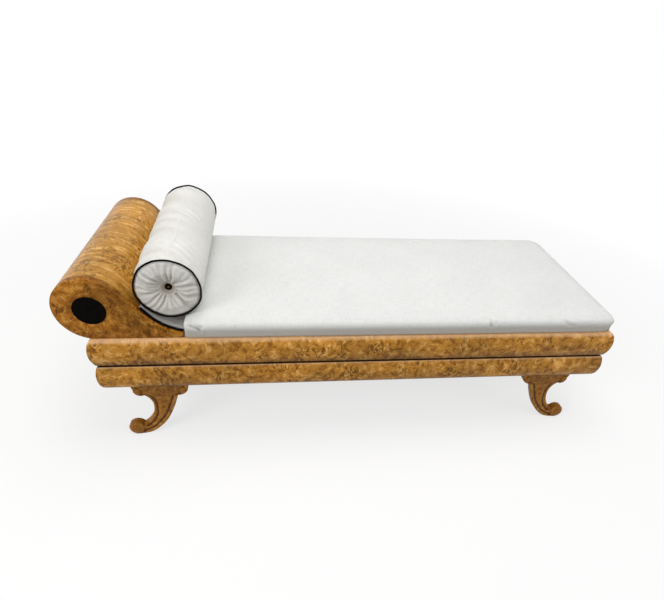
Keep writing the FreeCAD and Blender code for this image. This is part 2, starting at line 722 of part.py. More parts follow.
def gathers():
    """The tool that presses the dimple and its fan of pleats into the end of the bolster."""
    count = 2 * PLEAT_COUNT
    rings = []
    for radius, puff, depth in GATHER_RINGS:
        ring = []
        for index in range(count):
            turn = 2 * math.pi * index / count
            y = SEAM_Y - puff + depth * (index % 2)
            ring.append(Vector(radius * math.cos(turn), y, radius * math.sin(turn)))
        rings.append(ring)
    faces = [Part.Face(Part.makePolygon(ring + ring[:1])) for ring in (rings[0], rings[-1])]
    for outer, inner in zip(rings, rings[1:]):
        for index in range(count):
            following = (index + 1) % count
            faces.append(triangle(outer[index], outer[following], inner[index]))
            faces.append(triangle(outer[following], inner[following], inner[index]))
    return Part.Solid(Part.Shell(faces))


def triangle(first, second, third):
    return Part.Face(Part.makePolygon([first, second, third, first]))


def bolster_body():
    """The stuffed cover: swelling side, puffed ends and a gathered dimple in each."""
    half = bolster_half()
    return half.fuse(mirrored_in_depth(half)).removeSplitter()


def front_bolster_piping():
    section = cord_section(Vector(BOLSTER_SEAM_RADIUS, SEAM_Y, 0), X_AXIS, PIPING_RADIUS)
    return section.revolve(Vector(), Y_AXIS, FULL_TURN)


def front_button():
    """A covered button, low domed, drawn into the dimple."""
    return Part.makeCone(BUTTON_RADIUS, BUTTON_RADIUS * BUTTON_TAPER, BUTTON_THICKNESS,
                         Vector(0, SEAM_Y + BOLSTER_DIMPLE, 0), -Y_AXIS)


def placed_on_bolster(shape):
    """The shape in its place on the sweep, turned about the front seam on the slope it rests on."""
    placed = shape.copy()
    placed.rotate(Vector(0, SEAM_Y, 0), SWEEP_OUT, BOLSTER_SKEW)
    placed.translate(bolster_axis())
    return placed


def main():
    os.makedirs("parts", exist_ok=True)

    upper = rail_frame(upper_rail_profile())
    lower = rail_frame(lower_rail_profile())
    housings = [bearer_box(x) for x in bearer_places()]
    mortises = list(at_each_leg(leg_tenon(TENON_PLAY)).values())
    for side in ("front", "back"):
        upper[side] = upper[side].cut(housings)
        lower[side] = lower[side].cut(mortises)
    for side in ("front", "back", "head", "foot"):
        export("upper_rail_" + side, upper[side])
        export("lower_rail_" + side, lower[side])

    export("corner_blocks", corner_blocks())
    for name, housing in zip(("head", "middle", "foot"), housings):
        export("bearer_" + name, housing)

    cheek = front_cheek()
    export("head_cheek_front", cheek)
    export("head_cheek_back", mirrored_in_depth(cheek))
    roundel = front_roundel()
    export("roundels", front_and_back(roundel))
    export("scroll_skin", scroll_skin())
    export("head_base_board", head_base())
    export("head_formers", head_formers())
    export("head_pad", head_pad())
    export("head_pad_piping", front_and_back(front_pad_piping()))

    for place, leg in at_each_leg(carved_leg()).items():
        export("leg_" + place, leg)
    export("leg_tenons", Part.makeCompound(list(at_each_leg(leg_tenon()).values())))

    export("squab", squab())
    for name, board in squab_frame().items():
        export("squab_frame_" + name, board)
    export("squab_webbing_cross", cross_webbing())
    export("squab_webbing_long", long_webbing())

    export("bolster", placed_on_bolster(bolster_body()))
    export("bolster_piping", placed_on_bolster(front_and_back(front_bolster_piping())))
    export("bolster_buttons", placed_on_bolster(front_and_back(front_button())))
    print("bolster axis", bolster_axis())


main()
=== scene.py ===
# %% [markdown]
# # A burl veneered recamier
# A recamier is a low daybed with one scrolled head. This one stands on four carved scroll legs.
# Its wood is honey coloured burl veneer, and its squab and bolster are covered in off-white linen.
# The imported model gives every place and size. Each cell below makes one piece or one finish.

# %% Load the frame
import math
import random

import bmesh
import bpy
import numpy as np
from mathutils import Matrix, Vector, noise

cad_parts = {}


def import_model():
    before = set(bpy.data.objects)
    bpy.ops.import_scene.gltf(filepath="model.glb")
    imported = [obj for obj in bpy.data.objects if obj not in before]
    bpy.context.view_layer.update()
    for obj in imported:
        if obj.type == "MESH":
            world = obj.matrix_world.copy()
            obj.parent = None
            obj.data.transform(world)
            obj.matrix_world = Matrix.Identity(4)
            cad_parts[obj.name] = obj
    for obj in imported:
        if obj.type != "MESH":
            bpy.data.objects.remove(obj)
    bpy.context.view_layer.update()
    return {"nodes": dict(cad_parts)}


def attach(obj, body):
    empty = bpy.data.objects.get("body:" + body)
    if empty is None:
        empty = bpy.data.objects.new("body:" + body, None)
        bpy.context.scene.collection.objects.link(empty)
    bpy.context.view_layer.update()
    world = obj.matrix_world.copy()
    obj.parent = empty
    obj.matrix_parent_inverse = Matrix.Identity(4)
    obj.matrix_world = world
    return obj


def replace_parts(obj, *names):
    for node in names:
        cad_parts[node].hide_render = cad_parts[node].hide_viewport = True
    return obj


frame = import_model()
nodes = frame["nodes"]

# %% [markdown]
# ## Points and faces become a piece
# Most pieces are grids: rows of points joined to the next row. One helper turns such a grid into a
# mesh and keeps a flat map of the surface in metres, so that grain and weave have their real size.
# The map is a UV layer, which lets a veneer follow a rail or turn round a scroll without stretching.
# A value per point, such as how much painted shade a groove takes, is kept as an attribute of the mesh.

# %% Grid of points as a piece
MM = 0.001


def point_values(mesh, label, values):
    """Keeps a value from 0 to 1 for each point of a mesh, under a label."""
    layer = mesh.attributes.get(label) or mesh.attributes.new(label, "FLOAT", "POINT")
    layer.data.foreach_set("value", np.asarray(values, dtype=float).ravel())


def piece_from(name, points, faces, sheet_map=None, painted_shade=None):
    """A smooth mesh piece. sheet_map holds a (u, v) in metres, and the last argument a 0 to 1 value of
    painted shade per point.
    """
    mesh = bpy.data.meshes.new(name)
    mesh.from_pydata([tuple(p) for p in points], [], faces)
    for face in mesh.polygons:
        face.use_smooth = True
    if sheet_map:
        layer = mesh.uv_layers.new(name="sheet")
        for loop in mesh.loops:
            layer.data[loop.index].uv = sheet_map[loop.vertex_index]
    if painted_shade:
        point_values(mesh, "painted_shade", painted_shade)
    mesh.validate()
    piece = bpy.data.objects.new(name, mesh)
    bpy.context.scene.collection.objects.link(piece)
    return piece


def grid_faces(rows, columns, closed_columns=False, closed_rows=False):
    """Quads between neighbouring rows of a grid whose points are stored row by row."""
    faces = []
    for r in range(rows if closed_rows else rows - 1):
        for c in range(columns if closed_columns else columns - 1):
            following = (c + 1) % columns
            here, below = r * columns, (r + 1) % rows * columns
            faces.append((here + c, here + following, below + following, below + c))
    return faces


print("a grid of 3 by 4 points has", len(grid_faces(3, 4)), "faces")

# %% [markdown]
# ## Edges and facing
# Smooth shading rounds every edge, also those that a plane leaves sharp. Marking the edges above an
# angle as sharp keeps an arris crisp without more faces. Faces of a new mesh may look either way,
# and light needs them to look outward.

# %% Crisp edges and outward faces
ARRIS = 35


def crisp(piece, degrees=ARRIS):
    """Keeps edges sharper than the angle crisp and rounds off the rest."""
    mesh = piece.data
    edit = bmesh.new()
    edit.from_mesh(mesh)
    for edge in edit.edges:
        if len(edge.link_faces) == 2 and edge.calc_face_angle(0.0) > math.radians(degrees):
            edge.smooth = False
    edit.to_mesh(mesh)
    edit.free()
    return piece


def outward(piece):
    """Turns every face to look outward."""
    edit = bmesh.new()
    edit.from_mesh(piece.data)
    bmesh.ops.recalc_face_normals(edit, faces=edit.faces)
    edit.to_mesh(piece.data)
    edit.free()
    return piece


print("edges stay sharp above", ARRIS, "degrees")

# %% [markdown]
# ## Lines of a drawing
# Scrolls, sections and sweeps are drawn with compasses, so a drawing here is made of arcs too. The
# running length along a line tells how a sheet lies on it, which is what its map needs.

# %% Arcs and running length
def arc_points(centre, radius, start, end, count):
    """Points of an arc in a flat drawing, angles in degrees."""
    steps = [math.radians(start + (end - start) * i / (count - 1)) for i in range(count)]
    return [(centre[0] + radius * math.cos(a), centre[1] + radius * math.sin(a)) for a in steps]


def along(points):
    """Running length at each point of a line."""
    lengths = [0.0]
    for a, b in zip(points, points[1:]):
        lengths.append(lengths[-1] + math.dist(a, b))
    return lengths


print("a quarter of a 100 mm circle is", round(along(arc_points((0, 0), 100.0, 0, 90, 40))[-1], 1), "mm long")

# %% [markdown]
# ## Node helpers
# Every finish below is a tree of shader nodes. Writing trees in code gets long, so short helpers
# place a node, a mixing step, a sum and a colour ramp, and join each to the nodes before it.

# %% Place and join nodes
def join(tree, made, inputs):
    """Fills the inputs of a node. An input may be a value or the output of another node."""
    for socket, value in inputs.items():
        if isinstance(value, bpy.types.NodeSocket):
            tree.links.new(value, made.inputs[socket])
        else:
            made.inputs[socket].default_value = value


def add(tree, kind, inputs=None, **settings):
    """One shader node, with its inputs filled."""
    made = tree.nodes.new("ShaderNode" + kind)
    for name, value in settings.items():
        setattr(made, name, value)
    join(tree, made, inputs or {})
    return made


def blend(tree, factor, first, second, mode="MIX"):
    """Two colours blended."""
    made = add(tree, "Mix", {0: factor, 6: first, 7: second}, data_type="RGBA", blend_type=mode)
    return made.outputs[2]


def calc(tree, operation, first, second=0.0, third=0.0):
    """One sum on numbers."""
    return add(tree, "Math", {0: first, 1: second, 2: third}, operation=operation).outputs[0]


def ramp(tree, factor, *stops):
    """A colour ramp. Each stop is a place from 0 to 1 and a colour or a grey."""
    made = add(tree, "ValToRGB", {0: factor})
    elements = made.color_ramp.elements
    while len(elements) < len(stops):
        elements.new(0.5)
    for element, (place, colour) in zip(elements, stops):
        element.position = place
        element.color = colour if len(colour) == 4 else (*colour, 1.0)
    return made.outputs[0]


def grey(value):
    """A colour without hue, or the same number three times."""
    return (value, value, value)


print("a middle grey is", grey(0.5))

# %% [markdown]
# ## Node groups and materials
# Two finishes often share an effect, such as painted shade in the hollows. That effect is a node group, made
# once with named inputs and outputs and placed in each material with its own values. The shader itself stays
# in the material, because the export reads it only there.

# %% Node groups and materials
def group(name, takes, gives):
    """An empty node group with named inputs and outputs."""
    tree = bpy.data.node_groups.new(name, "ShaderNodeTree")
    for label, kind, value in takes:
        socket = tree.interface.new_socket(label, in_out="INPUT", socket_type="NodeSocket" + kind)
        if value is not None:
            socket.default_value = value
    for label, kind in gives:
        tree.interface.new_socket(label, in_out="OUTPUT", socket_type="NodeSocket" + kind)
    entry = tree.nodes.new("NodeGroupInput")
    leaving = tree.nodes.new("NodeGroupOutput")
    return tree, entry.outputs, leaving.inputs


def use(tree, shared, inputs):
    """A node group placed in a material."""
    made = tree.nodes.new("ShaderNodeGroup")
    made.node_tree = shared
    join(tree, made, inputs)
    return made.outputs


def finish_of(name):
    """A new material, its tree and its main shader."""
    material = bpy.data.materials.new(name)
    material.use_nodes = True
    tree = material.node_tree
    return material, tree, tree.nodes["Principled BSDF"]


def wear(piece, material):
    """Gives a piece its material, in place of any it had."""
    piece.data.materials.clear()
    piece.data.materials.append(material)
    return piece


print("materials before the first finish:", len(bpy.data.materials))

# %% [markdown]
# ## Burl figure
# Burl is wood from a knotty swelling, so its grain has no direction: it is a mottle of pale and
# amber patches with clusters of brown flecks and small dark eyes. A slow noise warps the map, a
# fine one gives the mottle, a finer one the flecks, and small cells are the eyes. Slow noises
# say where flecks and eyes gather and which parts of the sheet are darker. A streak value
# stretches the mottle into bands, which is how the veneer lies round the scroll.

# %% Node group for burl
BURL_LIGHT = (0.86, 0.47, 0.13, 1.0)
BURL_AMBER = (0.60, 0.265, 0.032, 1.0)
BURL_BROWN = (0.33, 0.125, 0.008, 1.0)
BURL_FLECK = (0.17, 0.068, 0.001, 1.0)
BURL_EYE = (0.05, 0.010, 0.002, 1.0)

burl, takes, gives = group(
    "burl figure",
    [("Vector", "Vector", None), ("Mottle Size", "Float", 42.0), ("Streak", "Float", 0.0),
     ("Flecks", "Float", 0.8), ("Eyes", "Float", 0.5), ("Depth", "Float", 0.5)],
    [("Color", "Color"), ("Roughness", "Float"), ("Height", "Float")])
warp = add(burl, "TexNoise", {"Vector": takes["Vector"], "Scale": 8.0, "Detail": 3.0})
warped = add(burl, "VectorMath", {0: warp.outputs["Color"], 1: (0.035, 0.035, 0.035)}, operation="MULTIPLY")
sheet = add(burl, "VectorMath", {0: takes["Vector"], 1: warped.outputs[0]}, operation="ADD").outputs[0]
mottle = add(burl, "TexNoise", {"Vector": sheet, "Scale": takes["Mottle Size"], "Detail": 7.0,
                                "Roughness": 0.66, "Distortion": 0.5}).outputs["Fac"]
band_sheet = add(burl, "VectorMath", {0: sheet, 1: (10.0, 60.0, 1.0)}, operation="MULTIPLY").outputs[0]
bands = add(burl, "TexNoise", {"Vector": band_sheet, "Scale": 1.0, "Detail": 6.0,
                               "Roughness": 0.62}).outputs["Fac"]
figure = calc(burl, "ADD", calc(burl, "MULTIPLY", mottle, calc(burl, "SUBTRACT", 1.0, takes["Streak"])),
              calc(burl, "MULTIPLY", bands, takes["Streak"]))
colour = ramp(burl, figure, (0.40, BURL_BROWN), (0.48, BURL_AMBER), (0.53, BURL_AMBER), (0.60, BURL_LIGHT))
patches = add(burl, "TexNoise", {"Vector": sheet, "Scale": 6.0, "Detail": 3.0}).outputs["Fac"]
tone = ramp(burl, patches, (0.36, grey(0.62)), (0.62, grey(1.1)))
colour = blend(burl, takes["Depth"], colour, tone, "MULTIPLY")
where = add(burl, "TexNoise", {"Vector": sheet, "Scale": 10.0, "Detail": 3.0}).outputs["Fac"]
cluster = ramp(burl, where, (0.42, grey(0.15)), (0.58, grey(1.0)))
spread_sheet = add(burl, "VectorMath", {0: sheet, 1: (1.0, 0.55, 1.0)}, operation="MULTIPLY").outputs[0]
fleck_noise = add(burl, "TexNoise", {"Vector": spread_sheet, "Scale": 88.0, "Detail": 3.0,
                                     "Distortion": 0.8}).outputs["Fac"]
fleck = calc(burl, "MULTIPLY", ramp(burl, fleck_noise, (0.53, grey(0.0)), (0.595, grey(1.0))), cluster)
colour = blend(burl, calc(burl, "MULTIPLY", fleck, takes["Flecks"]), colour, BURL_FLECK)
cells = add(burl, "TexVoronoi", {"Vector": sheet, "Scale": 62.0, "Randomness": 1.0}).outputs["Distance"]
rare = add(burl, "TexNoise", {"Vector": sheet, "Scale": 23.0, "Detail": 1.0}).outputs["Fac"]
eye = calc(burl, "MULTIPLY", ramp(burl, cells, (0.10, grey(1.0)), (0.22, grey(0.0))),
           ramp(burl, rare, (0.52, grey(0.0)), (0.58, grey(1.0))))
eyes = calc(burl, "MULTIPLY", eye, takes["Eyes"])
colour = blend(burl, eyes, colour, BURL_EYE)
burl.links.new(colour, gives["Color"])
burl.links.new(calc(burl, "MULTIPLY_ADD", mottle, 0.2, 0.3), gives["Roughness"])
burl.links.new(calc(burl, "SUBTRACT", figure, eyes), gives["Height"])
print("burl figure has", len(burl.nodes), "nodes")

# %% [markdown]
# ## Random tone, painted shade and painted highlight
# No old surface has one even tone. A slow noise darkens and lightens any finish a little. A value
# per point, which a piece's maker sets to 1 in grooves and folds, darkens it there: that is painted
# shade. A second value does the opposite: it paints a pale highlight on an upper edge, where the
# polish would reflect the lamp above.

# %% Node group for random tone, painted shade and painted highlight
tone_and_painted_light, takes, gives = group(
    "tone_and_painted_light",
    [("Color", "Color", None), ("Vector", "Vector", None), ("Blotch Size", "Float", 6.0),
     ("Blotches", "Float", 0.15),
     ("Painted Shade Color", "Color", (0.1, 0.05, 0.02, 1.0)), ("Painted Shade", "Float", 0.0),
     ("Painted Highlight Color", "Color", (0.9, 0.58, 0.33, 1.0)), ("Painted Highlights", "Float", 0.0)],
    [("Color", "Color")])
blotch = add(tone_and_painted_light, "TexNoise", {"Vector": takes["Vector"], "Scale": takes["Blotch Size"], "Detail": 4.0})
shade = ramp(tone_and_painted_light, blotch.outputs["Fac"], (0.3, grey(0.55)), (0.7, grey(1.1)))
toned = blend(tone_and_painted_light, takes["Blotches"], takes["Color"], shade, "MULTIPLY")
# Painted highlight: a pale colour blended in along upper edges.
painted_highlight = add(tone_and_painted_light, "Attribute", attribute_name="painted_highlight").outputs["Fac"]
toned = blend(tone_and_painted_light, calc(tone_and_painted_light, "MULTIPLY", painted_highlight, takes["Painted Highlights"]), toned, takes["Painted Highlight Color"])
# Painted shade: a dark colour blended in at grooves, folds and the foot of faces.
painted_shade = add(tone_and_painted_light, "Attribute", attribute_name="painted_shade").outputs["Fac"]
toned = blend(tone_and_painted_light, calc(tone_and_painted_light, "MULTIPLY", painted_shade, takes["Painted Shade"]), toned, takes["Painted Shade Color"])
tone_and_painted_light.links.new(toned, gives["Color"])
print("painted_light_and_tone group has", len(tone_and_painted_light.nodes), "nodes")

# %% [markdown]
# ## Linen
# Linen is a plain weave of uneven threads. Two sine waves at right angles make the weave, and two
# stretched noises make the slubs, the thick places in a thread that catch the light as short bars.
# The height goes to a Bump node, so close views show cloth and far ones only a soft, dry surface.

# %% Node group for linen
THREAD = 0.0011

linen, takes, gives = group(
    "linen weave",
    [("Vector", "Vector", None), ("Cloth", "Color", (0.8, 0.78, 0.73, 1.0)), ("Slub", "Float", 0.5)],
    [("Color", "Color"), ("Height", "Float")])
split = add(linen, "SeparateXYZ", {0: takes["Vector"]}).outputs
turns = 2.0 * math.pi / THREAD
warp_wave = calc(linen, "SINE", calc(linen, "MULTIPLY", split[0], turns))
weft_wave = calc(linen, "SINE", calc(linen, "MULTIPLY", split[1], turns))
weave = calc(linen, "MULTIPLY", warp_wave, weft_wave)
slubs = []
for stretch in ((30.0, 620.0, 1.0), (620.0, 30.0, 1.0)):
    lying = add(linen, "VectorMath", {0: takes["Vector"], 1: stretch}, operation="MULTIPLY").outputs[0]
    slubs.append(add(linen, "TexNoise", {"Vector": lying, "Scale": 1.0, "Detail": 2.0}).outputs["Fac"])
slub = calc(linen, "MULTIPLY", calc(linen, "ADD", *slubs), 0.5)
thread_tone = ramp(linen, slub, (0.36, grey(0.86)), (0.56, grey(1.0)))
cloth = blend(linen, takes["Slub"], takes["Cloth"], thread_tone, "MULTIPLY")
cloth = blend(linen, 0.10, cloth, ramp(linen, weave, (0.0, grey(0.7)), (1.0, grey(1.0))), "MULTIPLY")
linen.links.new(cloth, gives["Color"])
linen.links.new(calc(linen, "MULTIPLY_ADD", weave, 0.25, slub), gives["Height"])
print("linen weave has", len(linen.nodes), "nodes and", round(MM / THREAD * 10), "threads to the centimetre")

# %% [markdown]
# ## The materials
# Each finish is one Principled shader. The wood is polished, so it gets a thin coat, and its
# bump is slight because the veneer was scraped flat. The map comes from the piece's own UV layer.

# %% Wood finishes
def veneer(name, mottle_size, streak, flecks, eyes, depth,
           shift=(0.0, 0.0), shade_of=(1.0, 1.0, 1.0), coat=0.28):
    """Polished burl veneer, laid with a shift of its own so that no two pieces match."""
    material, tree, shader = finish_of(name)
    sheet = add(tree, "UVMap", uv_map="sheet").outputs[0]
    laid = add(tree, "VectorMath", {0: sheet, 1: (*shift, 0.0)}, operation="ADD").outputs[0]
    wood = use(tree, burl, {"Vector": laid, "Mottle Size": mottle_size, "Streak": streak,
                            "Flecks": flecks, "Eyes": eyes, "Depth": depth})
    toned = blend(tree, 1.0, wood["Color"], (*shade_of, 1.0), "MULTIPLY")
    # Painted shade, near black, fills grooves and the foot of the rails' faces, and a painted highlight
    # lightens their upper edges.
    toned = use(tree, tone_and_painted_light, {"Color": toned, "Vector": laid, "Blotches": 0.25, "Painted Shade": 0.95,
                                "Painted Highlights": 0.62, "Painted Shade Color": (0.006, 0.002, 0.001, 1.0)})["Color"]
    tree.links.new(toned, shader.inputs["Base Color"])
    tree.links.new(wood["Roughness"], shader.inputs["Roughness"])
    bump = add(tree, "Bump", {"Height": wood["Height"], "Strength": 0.1, "Distance": 0.0005})
    tree.links.new(bump.outputs[0], shader.inputs["Normal"])
    shader.inputs["Specular IOR Level"].default_value = 0.06
    shader.inputs["Coat Weight"].default_value = coat
    shader.inputs["Coat Roughness"].default_value = 0.22
    return material


UPPER_VENEER = veneer("veneer of the upper rails", 42.0, 0.1, 0.95, 0.8, 0.6)
LOWER_VENEER = veneer("veneer of the lower rails", 42.0, 0.1, 0.95, 0.9, 0.6, (2.3, 0.4))
CHEEK_VENEER = veneer("veneer of the cheeks", 50.0, 0.0, 0.8, 0.9, 0.9,
                      (5.1, 1.7), (0.66, 0.56, 0.36), 0.15)
BARREL_VENEER = veneer("veneer of the scroll", 36.0, 0.55, 0.8, 0.5, 0.7,
                       (8.2, 0.9), (0.88, 0.94, 1.0), 0.3)
LEG_WOOD = veneer("polished wood of the legs", 60.0, 0.3, 0.2, 0.0, 0.7,
                  (11.0, 2.0), (0.66, 0.60, 0.55), 0.2)
print("materials so far", [material.name for material in bpy.data.materials])

# %% [markdown]
# ## Ebonised wood
# The roundels are ebonised, which is black stain under polish on a plain hard wood. A fine noise
# keeps the black from being one flat tone. The noise lies in the space of the object, so that the
# piece needs no map of its own for it.

# %% Ebonised wood
def ebonised():
    """Black stain, a little uneven in tone and polish."""
    material, tree, shader = finish_of("ebonised wood")
    sheet = add(tree, "TexCoord").outputs["Object"]
    grain = add(tree, "TexNoise", {"Vector": sheet, "Scale": 90.0, "Detail": 4.0}).outputs["Fac"]
    stain = ramp(tree, grain, (0.3, (0.0015, 0.001, 0.001)), (0.7, (0.004, 0.003, 0.002)))
    tree.links.new(stain, shader.inputs["Base Color"])
    tree.links.new(calc(tree, "MULTIPLY_ADD", grain, 0.2, 0.45), shader.inputs["Roughness"])
    shader.inputs["Specular IOR Level"].default_value = 0.02
    return material


EBONY = ebonised()
print("ebonised wood has", len(EBONY.node_tree.nodes), "nodes")

# %% [markdown]
# ## Planed pine
# What a buyer never sees is cheap straight-grained softwood: bearers, blocks, the former and the
# squab's frame. Straight grain is a noise that is stretched 45 times along the board.

# %% Planed pine
def pine():
    """Planed softwood, with its grain along X."""
    material, tree, shader = finish_of("planed pine")
    place = add(tree, "TexCoord").outputs["Object"]
    lying = add(tree, "VectorMath", {0: place, 1: (2.0, 90.0, 90.0)}, operation="MULTIPLY").outputs[0]
    grain = add(tree, "TexNoise", {"Vector": lying, "Scale": 1.0, "Detail": 5.0,
                                   "Distortion": 0.4}).outputs["Fac"]
    colour = ramp(tree, grain, (0.3, (0.36, 0.2, 0.08)), (0.55, (0.58, 0.38, 0.18)),
                  (0.75, (0.66, 0.46, 0.24)))
    toned = use(tree, tone_and_painted_light, {"Color": colour, "Vector": place, "Blotches": 0.5})["Color"]
    tree.links.new(toned, shader.inputs["Base Color"])
    shader.inputs["Roughness"].default_value = 0.72
    bump = add(tree, "Bump", {"Height": grain, "Strength": 0.2, "Distance": 0.0005})
    tree.links.new(bump.outputs[0], shader.inputs["Normal"])
    return material


PINE = pine()
print("planed pine has", len(PINE.node_tree.nodes), "nodes")

# %% [markdown]
# ## Jute webbing
# The squab is carried by straps of woven jute. They are a plain weave like linen, only tan and
# coarse. So the linen group is used again, on a map that is shrunk, which makes the threads wider.

# %% Jute webbing
def jute():
    """The linen weave again, tan and more than twice as coarse."""
    material, tree, shader = finish_of("jute webbing")
    place = add(tree, "TexCoord").outputs["Object"]
    coarse = add(tree, "VectorMath", {0: place, 1: grey(0.45)}, operation="MULTIPLY").outputs[0]
    cloth = use(tree, linen, {"Vector": coarse, "Cloth": (0.42, 0.31, 0.17, 1.0), "Slub": 1.0})
    tree.links.new(cloth["Color"], shader.inputs["Base Color"])
    shader.inputs["Roughness"].default_value = 0.9
    bump = add(tree, "Bump", {"Height": cloth["Height"], "Strength": 0.6, "Distance": 0.001})
    tree.links.new(bump.outputs[0], shader.inputs["Normal"])
    return material


JUTE = jute()
print("jute webbing has", len(JUTE.node_tree.nodes), "nodes")

# %% [markdown]
# ## Cloth finishes
# The cover is a heavy off-white linen. Cloth scatters light back at grazing angles, so it gets a
# little sheen. The black cord is the same cloth dyed black, cut on the bias round a string.

# %% Linen and cord
def cover(name, cloth_colour, slub=0.5, blotches=0.12, painted_shade_colour=(0.33, 0.275, 0.205, 1.0), sheen=0.2):
    """Woven cloth whose marked places, its folds and seams, take a painted shade colour."""
    material, tree, shader = finish_of(name)
    sheet = add(tree, "UVMap", uv_map="sheet").outputs[0]
    cloth = use(tree, linen, {"Vector": sheet, "Cloth": (*cloth_colour, 1.0), "Slub": slub})
    toned = use(tree, tone_and_painted_light, {"Color": cloth["Color"], "Vector": sheet, "Blotch Size": 5.0,
                                "Blotches": blotches, "Painted Shade Color": painted_shade_colour, "Painted Shade": 0.9})["Color"]
    tree.links.new(toned, shader.inputs["Base Color"])
    shader.inputs["Roughness"].default_value = 0.88
    shader.inputs["Specular IOR Level"].default_value = sheen
    shader.inputs["Sheen Weight"].default_value = sheen
    shader.inputs["Sheen Roughness"].default_value = 0.5
    bump = add(tree, "Bump", {"Height": cloth["Height"], "Strength": 0.4, "Distance": 0.0007})
    tree.links.new(bump.outputs[0], shader.inputs["Normal"])
    return material


# The last colour given to each cloth is the painted shade of its folds and seams, and of the squab's lower
# band.
SQUAB_LINEN = cover("linen of the squab", (0.78, 0.79, 0.77), 1.0, 0.10, (0.30, 0.245, 0.18, 1.0))
BOLSTER_LINEN = cover("linen of the bolster", (0.78, 0.77, 0.725), 0.8, 0.2, (0.28, 0.22, 0.155, 1.0))
# The pad is the same linen made darker: painted shade from the bolster that lies over it.
SHADED_PAD_LINEN = cover("linen of the pad", (0.60, 0.59, 0.56))
CORD_CLOTH = cover("black cord", (0.006, 0.004, 0.004), 1.0, 0.3, (0.01, 0.006, 0.004, 1.0), 0.03)
print("materials in all", len(bpy.data.materials))

# %% [markdown]
# ## The two tiers of rails
# Each tier has a face rounded like a melon, with a smaller round at its foot and its top and a
# dark groove between the tiers. A moulding plane gives a rail one section from end to end, so the
# section is drawn first: three arcs that run into each other, closed by the flat back.

# %% Sections of the rails
RAIL_TOP, LOWER_TOP, RAIL_FOOT, GROOVE = 438.0, 334.0, 232.0, 339.0
FACE_RADIUS, RAIL_DEEP, REBATE = 120.0, 70.0, 22.0
UPPER_BULGE, LOWER_BULGE, LOWER_SETBACK = 388.0, 290.0, 1.2


def face_section(bottom, top, bulge, setback, low_round, high_round):
    """The rounded outer face from the underside to the top, as (inset, height) in mm."""
    centre = (setback + FACE_RADIUS, bulge)

    def small_round(radius, level):
        """Centre of a small round that touches the big one, and where they touch."""
        reach = FACE_RADIUS - radius
        inset = centre[0] - math.sqrt(reach ** 2 - (level - centre[1]) ** 2)
        turn = math.degrees(math.atan2(level - centre[1], inset - centre[0]))
        return (inset, level), turn

    low, low_turn = small_round(low_round, bottom + low_round)
    high, high_turn = small_round(high_round, top - high_round)
    low_turn, high_turn = low_turn % 360, high_turn % 360
    return (arc_points(low, low_round, 270, low_turn, 8)[:-1]
            + arc_points(centre, FACE_RADIUS, low_turn, high_turn, 22)
            + arc_points(high, high_round, high_turn, 90, 8)[1:])


UPPER_SECTION = (face_section(GROOVE, RAIL_TOP, UPPER_BULGE, 0.0, 4.0, 20.0)
                 + [(RAIL_DEEP, RAIL_TOP), (RAIL_DEEP, GROOVE)])
LOWER_SECTION = (face_section(RAIL_FOOT, LOWER_TOP, LOWER_BULGE, LOWER_SETBACK, 38.0, 6.0)
                 + [(REBATE, LOWER_TOP), (REBATE, GROOVE), (RAIL_DEEP, GROOVE), (RAIL_DEEP, RAIL_FOOT)])
print("sections of", len(UPPER_SECTION), "and", len(LOWER_SECTION), "points")

# %% [markdown]
# ## One mitred rail
# The rails meet in mitres. A rail could be cut with two planes, but it is simpler to end each line
# of the moulding where the mitre cuts it, which is as far from the end as the point lies behind
# the face. Its points also keep two values: painted shade in the groove and at the foot of the
# face, and a painted highlight along the upper edge.

# %% Mitred rail
MITRE_JOINT = 0.12
STATIONS = 24
LOW_SHADE, LOW_BAND = 0.55, 26.0
HIGHLIGHT_BAND, HIGHLIGHT_FADE = 13.0, 10.0


def mitred_rail(name, section, length, veneer_shift):
    """A rail along X with its outer face on Y = 0, mitred at both ends."""
    points, sheet_map, painted_shade, painted_highlights = [], [], [], []
    girth = along(section)
    top = max(height for _, height in section)
    low = GROOVE if top > GROOVE else min(height for _, height in section)
    for station in range(STATIONS + 1):
        share = 2.0 * station / STATIONS - 1.0
        for (inset, height), round_the_face in zip(section, girth):
            x = share * (length / 2 - inset - MITRE_JOINT)
            points.append((x * MM, inset * MM, height * MM))
            sheet_map.append(((x + veneer_shift) * MM, round_the_face * MM))
            # Painted shade: full in the groove between the tiers, and growing towards the foot of each face.
            in_groove = inset > 7.0 and LOWER_TOP - 1 < height < GROOVE + 1
            painted_shade.append(1.0 if in_groove else LOW_SHADE * min(1.0, max(0.0, 1 - (height - low) / LOW_BAND)))
            # Painted highlight: full along the top of the rail, fading down its upper round.
            painted_highlights.append(min(1.0, max(0.0, (height - top + HIGHLIGHT_BAND) / HIGHLIGHT_FADE)))
    columns = len(section)
    faces = grid_faces(STATIONS + 1, columns, closed_columns=True)
    faces.append(tuple(range(columns)))
    faces.append(tuple(reversed(range(STATIONS * columns, (STATIONS + 1) * columns))))
    rail = outward(piece_from(name, points, faces, sheet_map, painted_shade))
    point_values(rail.data, "painted_highlight", painted_highlights)
    return crisp(rail, 30)


print("a rail has", STATIONS + 1, "sections from end to end")

# %% [markdown]
# ## Eight rails in place
# The four sides of a tier are the same rail in two lengths, turned by quarters. Each gets its own
# stretch of veneer, so that no figure repeats. The CAD rails have the same section, so these
# replace them and add finer curves and the map for the veneer.

# %% Rails round the frame
RAILS_LONG, RAILS_DEEP, RAILS_MIDDLE = 1772.0, 686.0, 31.5
HEAD_END, FOOT_END = RAILS_MIDDLE - RAILS_LONG / 2, RAILS_MIDDLE + RAILS_LONG / 2


